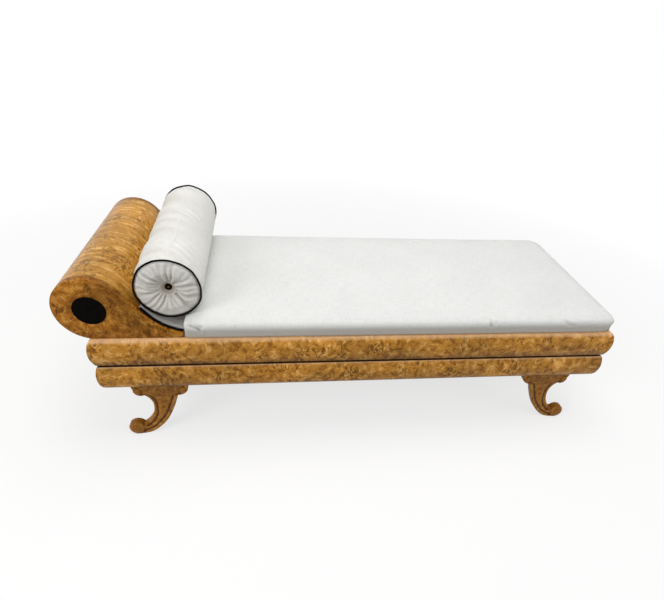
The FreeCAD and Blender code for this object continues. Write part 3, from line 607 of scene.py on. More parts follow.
def placed_rail(tier, side, section, material, shift):
    """A rail turned to its side of the frame and moved out to it."""
    quarters = {"front": 0, "foot": 1, "back": 2, "head": 3}[side]
    length = RAILS_LONG if side in ("front", "back") else RAILS_DEEP
    reach = RAILS_DEEP / 2 if side in ("front", "back") else RAILS_LONG / 2
    rail = mitred_rail("%s_rail_%s_veneered" % (tier, side), section, length, shift)
    turn = Matrix.Rotation(math.radians(90 * quarters), 4, "Z")
    middle = Matrix.Translation((RAILS_MIDDLE * MM, 0, 0))
    rail.data.transform(middle @ turn @ Matrix.Translation((0, -reach * MM, 0)))
    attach(rail, "carcass")
    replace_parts(rail, "%s_rail_%s" % (tier, side))
    return wear(rail, material)


for index, side in enumerate(("front", "back", "head", "foot")):
    placed_rail("upper", side, UPPER_SECTION, UPPER_VENEER, 2500.0 * index)
    placed_rail("lower", side, LOWER_SECTION, LOWER_VENEER, 2500.0 * index + 900.0)

# %% [markdown]
# ## The line of the scroll
# The head is drawn as a cabinet maker sets it out: a circle, a straight run down the sleeping
# side, and a hollow curve that runs out on the rail. Cheeks, wall, pad and cords all use this
# line, so it is worked out once. Angles are measured at the centre of each curve.

# %% Set out the scroll
SCROLL_R, SWEEP_R, SWEEP_ANGLE, SWEEP_RUN = 102.3, 159.0, 38.0, 116.6
SCROLL_FROM_END, TOE_FROM_END, SCROLL_SINK = 39.3, 289.5, 1.7
STRAIGHT_POINTS = 12
SCROLL_X, TOE_X = HEAD_END + SCROLL_FROM_END, HEAD_END + TOE_FROM_END
SCROLL_Z = RAIL_TOP + SCROLL_R - SCROLL_SINK
ON_RAIL = RAIL_TOP + 0.05
OUT = Vector((math.cos(math.radians(SWEEP_ANGLE)), math.sin(math.radians(SWEEP_ANGLE))))
DOWN = Vector((OUT.y, -OUT.x))
SCROLL_AXIS = Vector((SCROLL_X, SCROLL_Z))
SWEEP_CENTRE = SCROLL_AXIS + OUT * (SCROLL_R + SWEEP_R) + DOWN * SWEEP_RUN


def sweep_line(rise, start_run=0.0, count=36, end_x=TOE_X):
    """Points down the straight part and the hollow part of the sweep, lifted off it by rise."""
    top = SCROLL_AXIS + OUT * (SCROLL_R + rise)
    straight = [top + DOWN * (start_run + (SWEEP_RUN - start_run) * i / (STRAIGHT_POINTS - 1))
                for i in range(STRAIGHT_POINTS)]
    radius = SWEEP_R - rise
    first = math.degrees(math.atan2(-OUT.y, -OUT.x)) % 360
    last = 180 + math.degrees(math.acos((SWEEP_CENTRE.x - end_x) / radius))
    return straight + [Vector(p) for p in arc_points(SWEEP_CENTRE, radius, first, last, count)[1:]]


def scroll_line(count=96):
    """Points round the circle, from the heel on the rail over the top to the start of the sweep."""
    heel = math.degrees(math.asin((RAIL_TOP - SCROLL_Z) / SCROLL_R))
    return [Vector(p) for p in arc_points(SCROLL_AXIS, SCROLL_R, 180 - heel, SWEEP_ANGLE, count)]


OUTLINE = scroll_line() + sweep_line(0.0)[1:]
print("scroll line", len(OUTLINE), "points,", round(along(OUTLINE)[-1]), "mm round")

# %% [markdown]
# ## The wall of the scroll
# Real makers bend a thin board round the scroll and veneer it in one sheet. The wall is the
# outline drawn out along Y between the cheeks. Its map runs round the scroll and across it, so
# the streaks of the veneer go round the barrel as they do in the photograph.

# %% Bent wall
CHEEK_FACE, CHEEK_BACK = -323.0, -301.0


def drawn_out(name, line, y_low, y_high, count=2):
    """A sheet: a line of the drawing drawn out along Y."""
    points, sheet_map = [], []
    lengths = along(line)
    for row in range(count):
        y = y_low + (y_high - y_low) * row / (count - 1)
        for point, run in zip(line, lengths):
            points.append((point[0] * MM, y * MM, point[1] * MM))
            sheet_map.append((run * MM, y * MM))
    return piece_from(name, points, grid_faces(count, len(line)), sheet_map)


under_line = [Vector((TOE_X, ON_RAIL)), Vector((SCROLL_X, ON_RAIL)), OUTLINE[0]]
wall = drawn_out("scroll_wall", OUTLINE + under_line, CHEEK_BACK + 0.1, -CHEEK_BACK - 0.1, 3)
outward(crisp(wall))
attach(wall, "carcass")
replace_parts(wall, "scroll_skin")
wear(wall, BARREL_VENEER)
print("wall between the cheeks", -2 * CHEEK_BACK, "mm wide")

# %% [markdown]
# ## The cheeks
# A cheek is a flat board cut to the scroll line, so it could be a plain extrusion. Its front edge
# is softened, and that soft edge catches a thin line of light. Rows of points, each a little
# further in and forward, make the edge, and one flat face closes the front.

# %% Shaped cheeks
def inward(line, distance):
    """A closed line moved inward by a distance."""
    moved = []
    count = len(line)
    for i, point in enumerate(line):
        before, after = line[i - 1], line[(i + 1) % count]
        first = (point - before).normalized()
        second = (after - point).normalized()
        normal = Vector((first.y + second.y, -first.x - second.x)).normalized()
        stretch = max(0.5, math.sqrt((1 + first.dot(second)) / 2))
        moved.append(point + normal * distance / stretch)
    return moved


def cheek(name, flip):
    """A cheek as a board with a softened edge. flip is 1 for the front and -1 for the back."""
    line = OUTLINE + [Vector((TOE_X, ON_RAIL))]
    rows = [(CHEEK_BACK, 0.0), (CHEEK_FACE + 1.6, 0.0), (CHEEK_FACE + 0.8, 0.22),
            (CHEEK_FACE + 0.22, 0.8), (CHEEK_FACE, 1.6)]
    points, sheet_map = [], []
    lengths = along(line)
    for y, distance in rows:
        for point, run in zip(inward(line, distance), lengths):
            points.append((point.x * MM, y * flip * MM, point.y * MM))
            sheet_map.append((run * MM + 1.0, y * MM) if distance == 0.0 else (point.x * MM, point.y * MM))
    columns = len(line)
    faces = grid_faces(len(rows), columns, closed_columns=True)
    faces.append(tuple(range((len(rows) - 1) * columns, len(rows) * columns)))
    faces.append(tuple(reversed(range(columns))))
    made = crisp(outward(piece_from(name, points, faces, sheet_map)), 50)
    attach(made, "carcass")
    return wear(made, CHEEK_VENEER)


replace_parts(cheek("cheek_front_veneered", 1), "head_cheek_front")
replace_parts(cheek("cheek_back_veneered", -1), "head_cheek_back")
print("cheeks", round(CHEEK_BACK - CHEEK_FACE, 1), "mm thick")

# %% [markdown]
# ## Turned pieces
# The roundels, the covered buttons and the eyes of the legs are round, so they are turned: a
# section is spun about its axis. One helper makes each of them from a list of radii and heights.

# %% Turning helper and roundels
def turned(name, section, centre, facing, count=96):
    """A section of (radius, rise) in mm spun about Y. facing is -1 for the front and 1 for the back."""
    points, sheet_map = [], []
    for radius, rise in section:
        for i in range(count):
            turn = 2 * math.pi * i / count
            points.append(((centre[0] + radius * math.cos(turn)) * MM, (centre[1] + facing * rise) * MM,
                           (centre[2] + radius * math.sin(turn)) * MM))
            sheet_map.append((radius * math.cos(turn) * MM, radius * math.sin(turn) * MM))
    faces = grid_faces(len(section), count, closed_columns=True)
    faces.append(tuple(range((len(section) - 1) * count, len(section) * count)))
    return crisp(outward(piece_from(name, points, faces, sheet_map)), 40)


ROUNDEL = [(46.1, -5.5), (46.1, 1.6), (45.6, 2.4), (44.6, 2.9), (43.4, 3.0), (42.6, 2.5), (41.5, 2.4),
           (34.0, 2.8), (20.0, 3.0), (6.0, 3.0)]
roundels = []
for name, facing in (("roundel_front_turned", -1), ("roundel_back_turned", 1)):
    made = turned(name, ROUNDEL, (SCROLL_X, facing * -CHEEK_FACE, SCROLL_Z), facing)
    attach(made, "carcass")
    roundels.append(wear(made, EBONY))
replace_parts(roundels[0], "roundels")
print("roundels", len(roundels), "of", 2 * ROUNDEL[0][0], "mm")

# %% [markdown]
# ## The pad on the sweep
# A thin linen pad lines the sweep under the bolster. It is a strip with soft edges: the section
# across it rises from the wood in a quarter round and stays nearly flat in the middle.

# %% Pad
PAD_FRONT, PAD_HIGH, PAD_START = -303.0, 7.5, 84.0
SOFT_SIDE, SOFT_START = 12.0, 9.0


def pad():
    """The strip of padded linen, laid point by point on the line of the sweep."""
    across = 61
    start = sweep_line(0.0, PAD_START)
    points, sheet_map = [], []
    lengths = along(start)
    for c in range(across):
        share = c / (across - 1)
        y = PAD_FRONT + (-2 * PAD_FRONT) * share
        edge = min(share, 1 - share) * -2 * PAD_FRONT
        side_lift = math.sqrt(max(0.0, 1 - (1 - min(edge / SOFT_SIDE, 1.0)) ** 2))
        for i, run in enumerate(lengths):
            start_lift = math.sqrt(max(0.0, 1 - (1 - min(run / SOFT_START, 1.0)) ** 2))
            lift = 0.1 + PAD_HIGH * side_lift * start_lift
            lift += 0.5 * side_lift * noise.noise(Vector((run / 45.0, y / 60.0, 3.0)))
            base = start[i]
            normal = OUT if i < STRAIGHT_POINTS else (SWEEP_CENTRE - base).normalized()
            place = base + normal * lift
            points.append((min(place.x, TOE_X) * MM, y * MM, place.y * MM))
            sheet_map.append((run * MM, y * MM))
    made = outward(piece_from("sweep_pad_linen", points, grid_faces(across, len(start)), sheet_map))
    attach(made, "carcass")
    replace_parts(made, "head_pad")
    print("pad lies flat as", round(lengths[-1]), "by", -2 * PAD_FRONT, "mm")
    return wear(made, SHADED_PAD_LINEN)


pad()

# %% [markdown]
# ## Covered cord
# Upholsterers finish an edge with piping: a string in a bias strip. It is a tube along a line. A
# real one is never quite round or straight, so a slow noise moves it by a fraction of its width.

# %% Cord helper
CORD_R, PAD_CORD_R = 2.8, 4.2


def covered_cord(name, line, radius, closed=False, wobble=0.25, sides=14):
    """A tube along points in mm, with a seam of cloth wrapped round it."""
    count = len(line)
    points, sheet_map = [], []
    run = 0.0
    for i, place in enumerate(line):
        before = line[i - 1] if closed or i else line[i]
        after = line[(i + 1) % count] if closed or i < count - 1 else line[i]
        ahead = (after - before).normalized()
        side = ahead.cross(Vector((0, 1, 0)))
        if side.length < 0.1:
            side = ahead.cross(Vector((1, 0, 0)))
        side.normalize()
        up = side.cross(ahead)
        centre = place + side * wobble * noise.noise(place / 14.0) + up * wobble * noise.noise(place / 11.0)
        for s in range(sides):
            turn = 2 * math.pi * s / sides
            swell = radius * (1 + 0.05 * noise.noise(Vector((run / 5.0, turn, 0))))
            points.append((centre + (side * math.cos(turn) + up * math.sin(turn)) * swell) * MM)
            sheet_map.append((run * MM, turn * radius * MM))
        run += (after - place).length
    faces = grid_faces(count, sides, closed_columns=True, closed_rows=closed)
    if not closed:
        faces.append(tuple(range(sides)))
        faces.append(tuple(range((count - 1) * sides, count * sides)))
    return outward(piece_from(name, points, faces, sheet_map))


print("cords are", 2 * CORD_R, "and", 2 * PAD_CORD_R, "mm thick")

# %% [markdown]
# ## Cords of the pad
# A black cord runs down each side of the pad, from its upper end to the squab. It lies beside the
# pad and on the wood, so its line is the line of the sweep, lifted by the radius of the cord.

# %% Cords of the pad
pad_cords = []
for name, way in (("pad_cord_front", 1), ("pad_cord_back", -1)):
    y = way * (PAD_FRONT - PAD_CORD_R - 0.3)
    path = [Vector((p.x, y, p.y)) for p in sweep_line(PAD_CORD_R + 0.3, PAD_START, 60, TOE_X - 0.5)]
    made = covered_cord(name, path, PAD_CORD_R)
    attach(made, "carcass")
    pad_cords.append(wear(made, CORD_CLOTH))
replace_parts(pad_cords[0], "head_pad_piping")
print("each pad cord is", round(along(path)[-1]), "mm long")

# %% [markdown]
# ## The scroll legs
# A scroll leg is carved from one board, after a drawing. The drawing has two lines: the hollow side
# and the back. Each line is six free arcs, and each arc is given by three points as shares of how
# far the leg reaches and how high it is, so the whole leg can be made longer or taller.

# %% Lines of the leg
LEG_REACH, LEG_HEIGHT, LEG_THICK = 242.0, 232.0, 28.0
HOLLOW_SIDE = [
    [(0.207, 1.0), (0.2145, 0.9525), (0.222, 0.905)],
    [(0.222, 0.905), (0.262, 0.812), (0.339, 0.823)],
    [(0.339, 0.823), (0.424, 0.736), (0.455, 0.616)],
    [(0.455, 0.616), (0.396, 0.370), (0.234, 0.181)],
    [(0.234, 0.181), (0.134, 0.241), (0.018, 0.121)],
    [(0.018, 0.121), (0.052, 0.035), (0.134, 0.0)],
]
BACK_SIDE = [
    [(0.996, 1.0), (0.9835, 0.96), (0.971, 0.920)],
    [(0.971, 0.920), (0.905, 0.815), (0.822, 0.806)],
    [(0.822, 0.806), (0.747, 0.585), (0.655, 0.380)],
    [(0.655, 0.380), (0.550, 0.216), (0.400, 0.066)],
    [(0.400, 0.066), (0.330, 0.024), (0.245, 0.001)],
    [(0.245, 0.001), (0.195, 0.0), (0.136, 0.0)],
]
ROWS_OF = [3, 12, 16, 26, 22, 18]
print("the leg is", len(HOLLOW_SIDE) + len(BACK_SIDE), "arcs in", LEG_REACH, "by", LEG_HEIGHT, "mm")

# %% [markdown]
# ## From three points to an arc
# One circle goes through any three points that aren't in line, so a middle point says how much an
# arc bends. Points that are nearly in line are joined by a straight piece instead, because their
# circle would be endlessly large. Both lines get the same number of points, row for row.

# %% Arcs through drawn points
IN_LINE = 60.0


def through(first, middle, last, count):
    """Points on the smooth curve through three drawn points."""
    a, b, c = (Vector((x * LEG_REACH, z * LEG_HEIGHT)) for x, z in (first, middle, last))
    d = 2 * (a.x * (b.y - c.y) + b.x * (c.y - a.y) + c.x * (a.y - b.y))
    if abs(d) < IN_LINE:
        return [a.lerp(c, i / count) for i in range(count)]
    ux = (a.dot(a) * (b.y - c.y) + b.dot(b) * (c.y - a.y) + c.dot(c) * (a.y - b.y)) / d
    uy = (a.dot(a) * (c.x - b.x) + b.dot(b) * (a.x - c.x) + c.dot(c) * (b.x - a.x)) / d
    centre = Vector((ux, uy))
    radius = (a - centre).length
    start, mid, end = (math.atan2(p.y - uy, p.x - ux) for p in (a, b, c))
    turn = (end - start) % (2 * math.pi)
    if (mid - start) % (2 * math.pi) > turn:
        turn -= 2 * math.pi
    return [centre + Vector((math.cos(start + turn * i / count), math.sin(start + turn * i / count))) * radius
            for i in range(count)]


def drawn_line(pieces):
    """A whole side of the leg, arc after arc, in mm."""
    line = []
    for (first, middle, last), count in zip(pieces, ROWS_OF):
        line += through(first, middle, last, count)
    last = pieces[-1][-1]
    return line + [Vector((last[0] * LEG_REACH, last[1] * LEG_HEIGHT))]


print("the sides are", [round(along(drawn_line(side))[-1]) for side in (HOLLOW_SIDE, BACK_SIDE)], "mm long")

# %% [markdown]
# ## Bead, groove and swell
# The carver left a raised bead along each edge, cut a groove beside it with a gouge and rounded
# the field between the grooves. That makes one section across the leg. It gives how deep a place
# lies, and how much painted shade its groove takes, and it narrows with the leg towards the toe.

# %% Section across the leg
BEAD_WIDE, GROOVE_WIDE = 12.0, 8.0
BEAD_FALL, FIELD_DEPTH, GROOVE_DEPTH, FIELD_SWELL = 5.5, 3.6, 2.0, 3.4


def carving(from_edge, width):
    """How far the carved face lies behind the front plane, and how deep in a groove, at a place."""
    bead = min(BEAD_WIDE, width * 0.24)
    groove = min(GROOVE_WIDE, width * 0.15)
    if from_edge < bead:
        share = from_edge / bead
        return BEAD_FALL * (1 - math.sin(math.pi * (0.06 + 0.86 * share)) ** 0.7), 0.0
    if from_edge < bead + groove:
        share = (from_edge - bead) / groove
        return FIELD_DEPTH + GROOVE_DEPTH * math.sin(math.pi * share), math.sin(math.pi * share)
    inner = (from_edge - bead - groove) / max(1.0, width / 2 - bead - groove)
    return FIELD_DEPTH - FIELD_SWELL * math.sin(math.pi / 2 * min(1.0, inner)) ** 0.9, 0.0


print("deepest in the groove", FIELD_DEPTH + GROOVE_DEPTH, "mm")

# %% [markdown]
# ## One carved leg
# Rows of points laid from the hollow side to the back follow the scroll by themselves, so the beads
# and grooves run down the leg as the gouge did. The points stand closer near the edges, where the
# section bends most. The rows close round the flat back of the board, whose edges are eased.

# %% Leg
ROW_POINTS, BACK_EASE = 57, 3.0
TOP_FADE, TOE_FADE = 3.0, 14.0


def carved_leg(name):
    """The leg with its toe towards -X and its carved face on Y = 0, in metres."""
    hollow_side, back_side = drawn_line(HOLLOW_SIDE), drawn_line(BACK_SIDE)
    shares = [0.5 - 0.5 * math.cos(math.pi * i / (ROW_POINTS - 1)) for i in range(ROW_POINTS)]
    back_shares = [1.0, 0.97, 0.75, 0.5, 0.25, 0.03, 0.0]
    points, sheet_map, painted_shade = [], [], []
    total = len(hollow_side)
    for row, (near, far) in enumerate(zip(hollow_side, back_side)):
        width = (far - near).length
        fade = min(1.0, row / TOP_FADE) * min(1.0, (total - 1 - row) / TOE_FADE)
        for share in shares:
            place = near.lerp(far, share)
            depth, groove_shade = carving(min(share, 1 - share) * width, width)
            points.append((place.x * MM, (depth * fade + 0.15) * MM, place.y * MM))
            sheet_map.append((place.y * MM, place.x * MM))
            # Painted shade, deepest in the middle of each groove.
            painted_shade.append(groove_shade * fade)
        for share in back_shares:
            place = near.lerp(far, share)
            y = LEG_THICK - (0.0 if 0.0 < share < 1.0 else BACK_EASE)
            points.append((place.x * MM, y * MM, place.y * MM))
            sheet_map.append((place.y * MM + 0.4, place.x * MM))
            painted_shade.append(0.0)
    columns = len(shares) + len(back_shares)
    faces = grid_faces(total, columns, closed_columns=True)
    faces.append(tuple(range(columns)))
    faces.append(tuple(reversed(range((total - 1) * columns, total * columns))))
    leg = outward(piece_from(name, points, faces, sheet_map, painted_shade))
    return crisp(leg, 60)


print("a leg has", sum(ROWS_OF) + 1, "rows of", ROW_POINTS, "carved points")

# %% [markdown]
# ## Four legs with their eyes
# A volute ends in a raised eye, one at the toe and one in each ear. An eye is a low turned knob. The
# four legs are one drawing: mirrored along the piece for the other end and through it for the
# back. A mirror turns faces inside out, so they are flipped back where only one mirror is used.

# %% Eyes and four legs
LEG_INSET, LEG_FACE = 32.0, -313.0
CORNERS = [("front_head", 1, 1), ("front_foot", -1, 1), ("back_head", 1, -1), ("back_foot", -1, -1)]


def knob(name, centre, radius, rise):
    """The rounded eye at the end of a volute, with a shadow line round its foot."""
    section = [(radius, -2.5), (radius * 0.985, 0.0), (radius * 0.94, rise * 0.28),
               (radius * 0.86, rise * 0.5), (radius * 0.72, rise * 0.73), (radius * 0.5, rise * 0.91),
               (radius * 0.25, rise * 0.985), (0.5, rise)]
    return turned(name, section, (centre[0] * LEG_REACH, 1.0, centre[1] * LEG_HEIGHT), -1, 48)


for place, x_way, y_way in CORNERS:
    leg = carved_leg("leg_%s_carved" % place)
    eyes = [knob("leg_%s_toe_eye" % place, (0.134, 0.121), 26.0, 9.0),
            knob("leg_%s_outer_eye" % place, (0.284, 0.884), 12.0, 5.5),
            knob("leg_%s_inner_eye" % place, (0.905, 0.890), 12.5, 5.5)]
    toe_x = HEAD_END + LEG_INSET if x_way > 0 else FOOT_END - LEG_INSET
    to_corner = Matrix.Translation((toe_x * MM, LEG_FACE * y_way * MM, 0))
    for made in [leg] + eyes:
        made.data.transform(to_corner @ Matrix.Diagonal((x_way, y_way, 1, 1)))
        if x_way * y_way < 0:
            made.data.flip_normals()
        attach(made, "carcass")
        wear(made, LEG_WOOD)
    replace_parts(leg, "leg_" + place)
print("legs at", [corner[0] for corner in CORNERS], "each with", len(eyes), "eyes")

# %% [markdown]
# ## Reading and keeping a mesh
# A cushion goes through several modifiers one after the other, and each works on what the last one
# left. So the mesh is worked out, read into tables of numbers, changed and kept as the new mesh.

# %% Read and settle a mesh
def evaluated_copy(piece):
    """The mesh of a piece with its modifiers worked out."""
    bpy.context.view_layer.update()
    return bpy.data.meshes.new_from_object(piece.evaluated_get(bpy.context.evaluated_depsgraph_get()))


def listed(things, what, width):
    """One value of many points, faces or corners as a table."""
    table = np.empty(len(things) * width)
    things.foreach_get(what, table)
    return table.reshape(-1, width)


def settle(piece, mesh):
    """Gives a piece a finished mesh in place of its modifiers."""
    piece.modifiers.clear()
    piece.data = mesh
    for face in mesh.polygons:
        face.use_smooth = True


def finer(piece):
    """Cuts every face of a piece in four and rounds it."""
    soft = piece.modifiers.new("finer cloth", "SUBSURF")
    soft.levels = soft.render_levels = 1
    settle(piece, evaluated_copy(piece))


print("points of the wall, read as a table", listed(wall.data.vertices, "co", 3).shape)

# %% [markdown]
# ## Stuffing
# Padded cloth is round because something presses it outward from inside. Drawing that by hand
# looks stiff, so the shape is first made a little plain, cut into even small squares and filled
# with air for twenty steps of the cloth solver. A cap keeps every point near its place, so that
# the cushion still fits its neighbours.

# %% Fill a cushion
AIR_PRESSURE, AIR_STEPS = 4.0, 20


def stuffed(piece, voxel, cap, spare_cloth=0.0, held=None):
    """Even squares of voxel mm, then cloth under pressure that moves no point more than cap mm.
    held says how firmly a point is kept, from 0 to 1."""
    remesh = piece.modifiers.new("even squares", "REMESH")
    remesh.mode, remesh.voxel_size = "VOXEL", voxel * MM
    settle(piece, evaluated_copy(piece))
    before = listed(piece.data.vertices, "co", 3)
    if held:
        pins = piece.vertex_groups.new(name="held")
        for vertex in piece.data.vertices:
            pins.add([vertex.index], held(vertex.co / MM), "REPLACE")
    cloth = piece.modifiers.new("cloth", "CLOTH")
    cloth.settings.quality = 5
    cloth.settings.use_pressure = True
    cloth.settings.uniform_pressure_force = AIR_PRESSURE
    cloth.settings.shrink_min = -spare_cloth
    cloth.settings.effector_weights.gravity = 0.0
    cloth.collision_settings.use_collision = False
    if held:
        cloth.settings.vertex_group_mass = "held"
    cloth.point_cache.frame_start, cloth.point_cache.frame_end = 1, AIR_STEPS
    for frame_number in range(1, AIR_STEPS + 1):
        bpy.context.scene.frame_set(frame_number)
    moved = evaluated_copy(piece)
    step = listed(moved.vertices, "co", 3) - before
    length = np.linalg.norm(step, axis=1, keepdims=True)
    step *= np.minimum(1.0, cap * MM / np.maximum(length, 1e-9))
    moved.vertices.foreach_set("co", (before + step).ravel())
    settle(piece, moved)
    bpy.context.scene.frame_set(1)
    print(piece.name, "moved up to", round(float(length.max()) / MM, 1),
          "mm, mean", round(float(length.mean()) / MM, 2))
    return piece


print("a filled cushion takes", AIR_STEPS, "steps of the solver")

# %% [markdown]
# ## Folds and the map of a cushion
# A fold is a narrow valley with a low swell on either side, where the cloth that the valley took in
# is pushed up. It is pressed into the finished skin along a path. Cutting the shape into squares
# loses its map, so the map is laid again, corner by corner, from where each corner lies.

# %% Fold and map a cushion
SWELL_BESIDE = 0.35


def pressed(piece, path, width, depth):
    """Presses a fold into a piece along a path of points in mm, and tells how near each point is."""
    mesh = piece.data
    co, normals = listed(mesh.vertices, "co", 3), listed(mesh.vertices, "normal", 3)
    nearest = np.full(len(co), 1e9)
    for a, b in zip(path, path[1:]):
        a, b = np.array(a) * MM, np.array(b) * MM
        share = np.clip((co - a) @ (b - a) / ((b - a) @ (b - a)), 0, 1)
        nearest = np.minimum(nearest, np.linalg.norm(co - a - share[:, None] * (b - a), axis=1))
    apart = nearest / (width * MM)
    fold = depth * MM * (np.exp(-apart ** 2) - SWELL_BESIDE * np.exp(-((apart - 2.0) / 0.9) ** 2))
    mesh.vertices.foreach_set("co", (co - normals * fold[:, None]).ravel())
    mesh.update()
    return np.exp(-apart ** 2)


def lay_map(piece, flat):
    """Writes the sheet map. flat turns places, face middles and normals of corners into (u, v) in mm."""
    mesh = piece.data
    layer = mesh.uv_layers.get("sheet") or mesh.uv_layers.new(name="sheet")
    places = listed(mesh.vertices, "co", 3) / MM
    corners = listed(mesh.loops, "vertex_index", 1).astype(int).ravel()
    sides = listed(mesh.polygons, "loop_total", 1).astype(int).ravel()
    middles = np.repeat(listed(mesh.polygons, "center", 3) / MM, sides, axis=0)
    normals = np.repeat(listed(mesh.polygons, "normal", 3), sides, axis=0)
    layer.data.foreach_set("uv", (flat(places[corners], middles, normals) * MM).ravel())


print("beside a fold the cloth rises by", SWELL_BESIDE, "of its depth")

# %% [markdown]
# ## The squab
# The squab is a stuffed mattress on a frame, with its edge a little inside the rails. Its side is
# drawn as one line: a lower band, a soft step, a full roll and the start of the top. The line
# holds how high each place is, as a share of the edge, and how far it is drawn in.

# %% Line of the squab
SQUAB_INSET = 10.0
SQUAB_HEAD, SQUAB_FOOT, SQUAB_HALF = TOE_X + 0.4, FOOT_END - SQUAB_INSET, RAILS_DEEP / 2 - SQUAB_INSET
SQUAB_EDGE, SQUAB_CROWN = 64.0, 6.5
SQUAB_SIDE = [(0.00, 6.0), (0.05, 4.0), (0.12, 2.6), (0.20, 2.6), (0.27, 3.2), (0.31, 3.2),
              (0.36, 2.2), (0.42, 0.4), (0.50, -1.6), (0.58, -2.0), (0.66, -1.0), (0.72, 1.0),
              (0.78, 4.0), (0.84, 8.5), (0.90, 15.5), (0.95, 25.0), (0.985, 38.0), (1.00, 54.0)]
print("squab", round(SQUAB_FOOT - SQUAB_HEAD), "by", 2 * SQUAB_HALF, "mm,", SQUAB_EDGE, "mm high at its edge")

# %% [markdown]
# ## Rings of the squab
# Rings of points stacked from the rails to the crown follow the line. A ring is a rectangle with
# rounded corners. The corners at the foot are rounder than those at the head, where the squab
# meets the sweep and stands upright but for a small round at its top.

# %% Rings of the squab
HEAD_CORNER, FOOT_CORNER, BACK_CORNER = 12.0, 38.0, 52.0
HEAD_ROUND, HEAD_DRAWN, TOP_RINGS = 15.0, 15.3, 15


def ring_of(head, foot, half, head_corner, foot_corner, back_corner, height):
    """A closed ring: a rectangle with rounded corners, with the same count of points every time."""
    corners = [(head, -half, head_corner, 1, 1), (foot, -half, foot_corner, -1, 1),
               (foot, half, back_corner, -1, -1), (head, half, head_corner, 1, -1)]
    counts = [14, 18, 18, 14]
    arcs = []
    for (x, y, radius, xw, yw), count in zip(corners, counts):
        centre = Vector((x + xw * radius, y + yw * radius))
        first = Vector((-xw, 0)) if xw == yw else Vector((0, -yw))
        second = Vector((0, -yw)) if xw == yw else Vector((-xw, 0))
        arcs.append([centre + (first * math.cos(a) + second * math.sin(a)) * radius
                     for a in [math.pi / 2 * i / (count - 1) for i in range(count)]])
    ring = []
    for i, count in enumerate([170, 76, 170, 76]):
        ring += arcs[i]
        start, end = arcs[i][-1], arcs[(i + 1) % 4][0]
        ring += [start.lerp(end, (k + 1) / (count + 1)) for k in range(count)]
    return [Vector((p.x, p.y, height)) for p in ring]


def squab_rings():
    """Rings up the side and then, ever smaller, over the crowned top."""
    rings = []
    for share, drawn in SQUAB_SIDE:
        height = share * SQUAB_EDGE
        above = max(0.0, height - (SQUAB_EDGE - HEAD_ROUND))
        head_drawn = HEAD_DRAWN - math.sqrt(max(0.0, HEAD_ROUND ** 2 - above ** 2))
        rings.append(ring_of(SQUAB_HEAD + head_drawn, SQUAB_FOOT - drawn, SQUAB_HALF - drawn,
                             HEAD_CORNER, FOOT_CORNER, BACK_CORNER, RAIL_TOP + height))
    last = SQUAB_SIDE[-1][1]
    for i in range(1, TOP_RINGS):
        way = i / TOP_RINGS
        side = SQUAB_HALF - last - way * (SQUAB_HALF - last) * 0.96
        end = way * 0.45 * (SQUAB_FOOT - SQUAB_HEAD) / 2
        rise = SQUAB_CROWN * math.sin(math.pi / 2 * min(1.0, way * 1.1))
        corner = max(4.0, HEAD_CORNER * (1 - way))
        rings.append(ring_of(SQUAB_HEAD + HEAD_DRAWN + end, SQUAB_FOOT - last - end, side, corner,
                             min(side * 0.9, FOOT_CORNER), min(side * 0.9, BACK_CORNER),
                             RAIL_TOP + SQUAB_EDGE + rise))
    return rings


print("squab rings", len(squab_rings()), "of", len(squab_rings()[0]), "points")

# %% [markdown]
# ## Folds of the squab
# The photograph shows where the cover was pulled tight by hand: a bent pleat by the head, a short
# crease in the front roll, a faint slack fold and a notch where the cloth is tucked round the
# corner at the foot. Each is a path on the skin, with how wide and how deep it is pressed in.

# %% Folds and map of the squab
def squab_map(places, middles, normals):
    """Lays the cloth flat on the top and hangs it straight down each side."""
    x, y, z = places.T
    level = np.abs(normals[:, 2]) > 0.6
    along_side = np.abs(normals[:, 1]) > np.abs(normals[:, 0])
    return np.stack([np.where(level | along_side, x, y), np.where(level, y, z)], axis=1)


SQUAB_FOLDS = [
    ([(-553, -329, 494), (-541, -331, 486), (-528, -332, 481), (-517, -332, 473), (-512, -332, 462)],
     5.0, 5.0),
    ([(-534, -327, 496), (-520, -330, 489), (-508, -331, 481)], 4.5, 3.0),
    ([(436, -322, 497), (435, -331, 485), (437, -333, 466)], 4.5, 4.2),
    ([(906, -318, 470), (902, -328, 466), (893, -333, 462)], 5.5, 5.5),
    ([(452, -326, 495), (453, -333, 480)], 4.5, 2.0),
    ([(700, -329, 490), (716, -333, 478), (742, -333, 470)], 6.0, 2.0),
]
print("folds of the squab", len(SQUAB_FOLDS))

# %% [markdown]
# ## Making the squab
# The rings are joined and filled with air, which softens them into one skin. The lowest edge of the
# cover is held, because there it is drawn tight round the frame. Then the skin is cut finer, made
# smooth and folded. Nothing may sink into the rails or the sweep, so both are kept clear. The folds
# and the lower band carry a value that the finish turns into a warm painted shade, darker towards the bottom.

# %% Make the squab
HELD_EDGE = 7


def at_lowest_edge(place):
    """1 for the held edge of the cover and 0 above it."""
    return 1.0 if place.z < RAIL_TOP + HELD_EDGE else 0.0


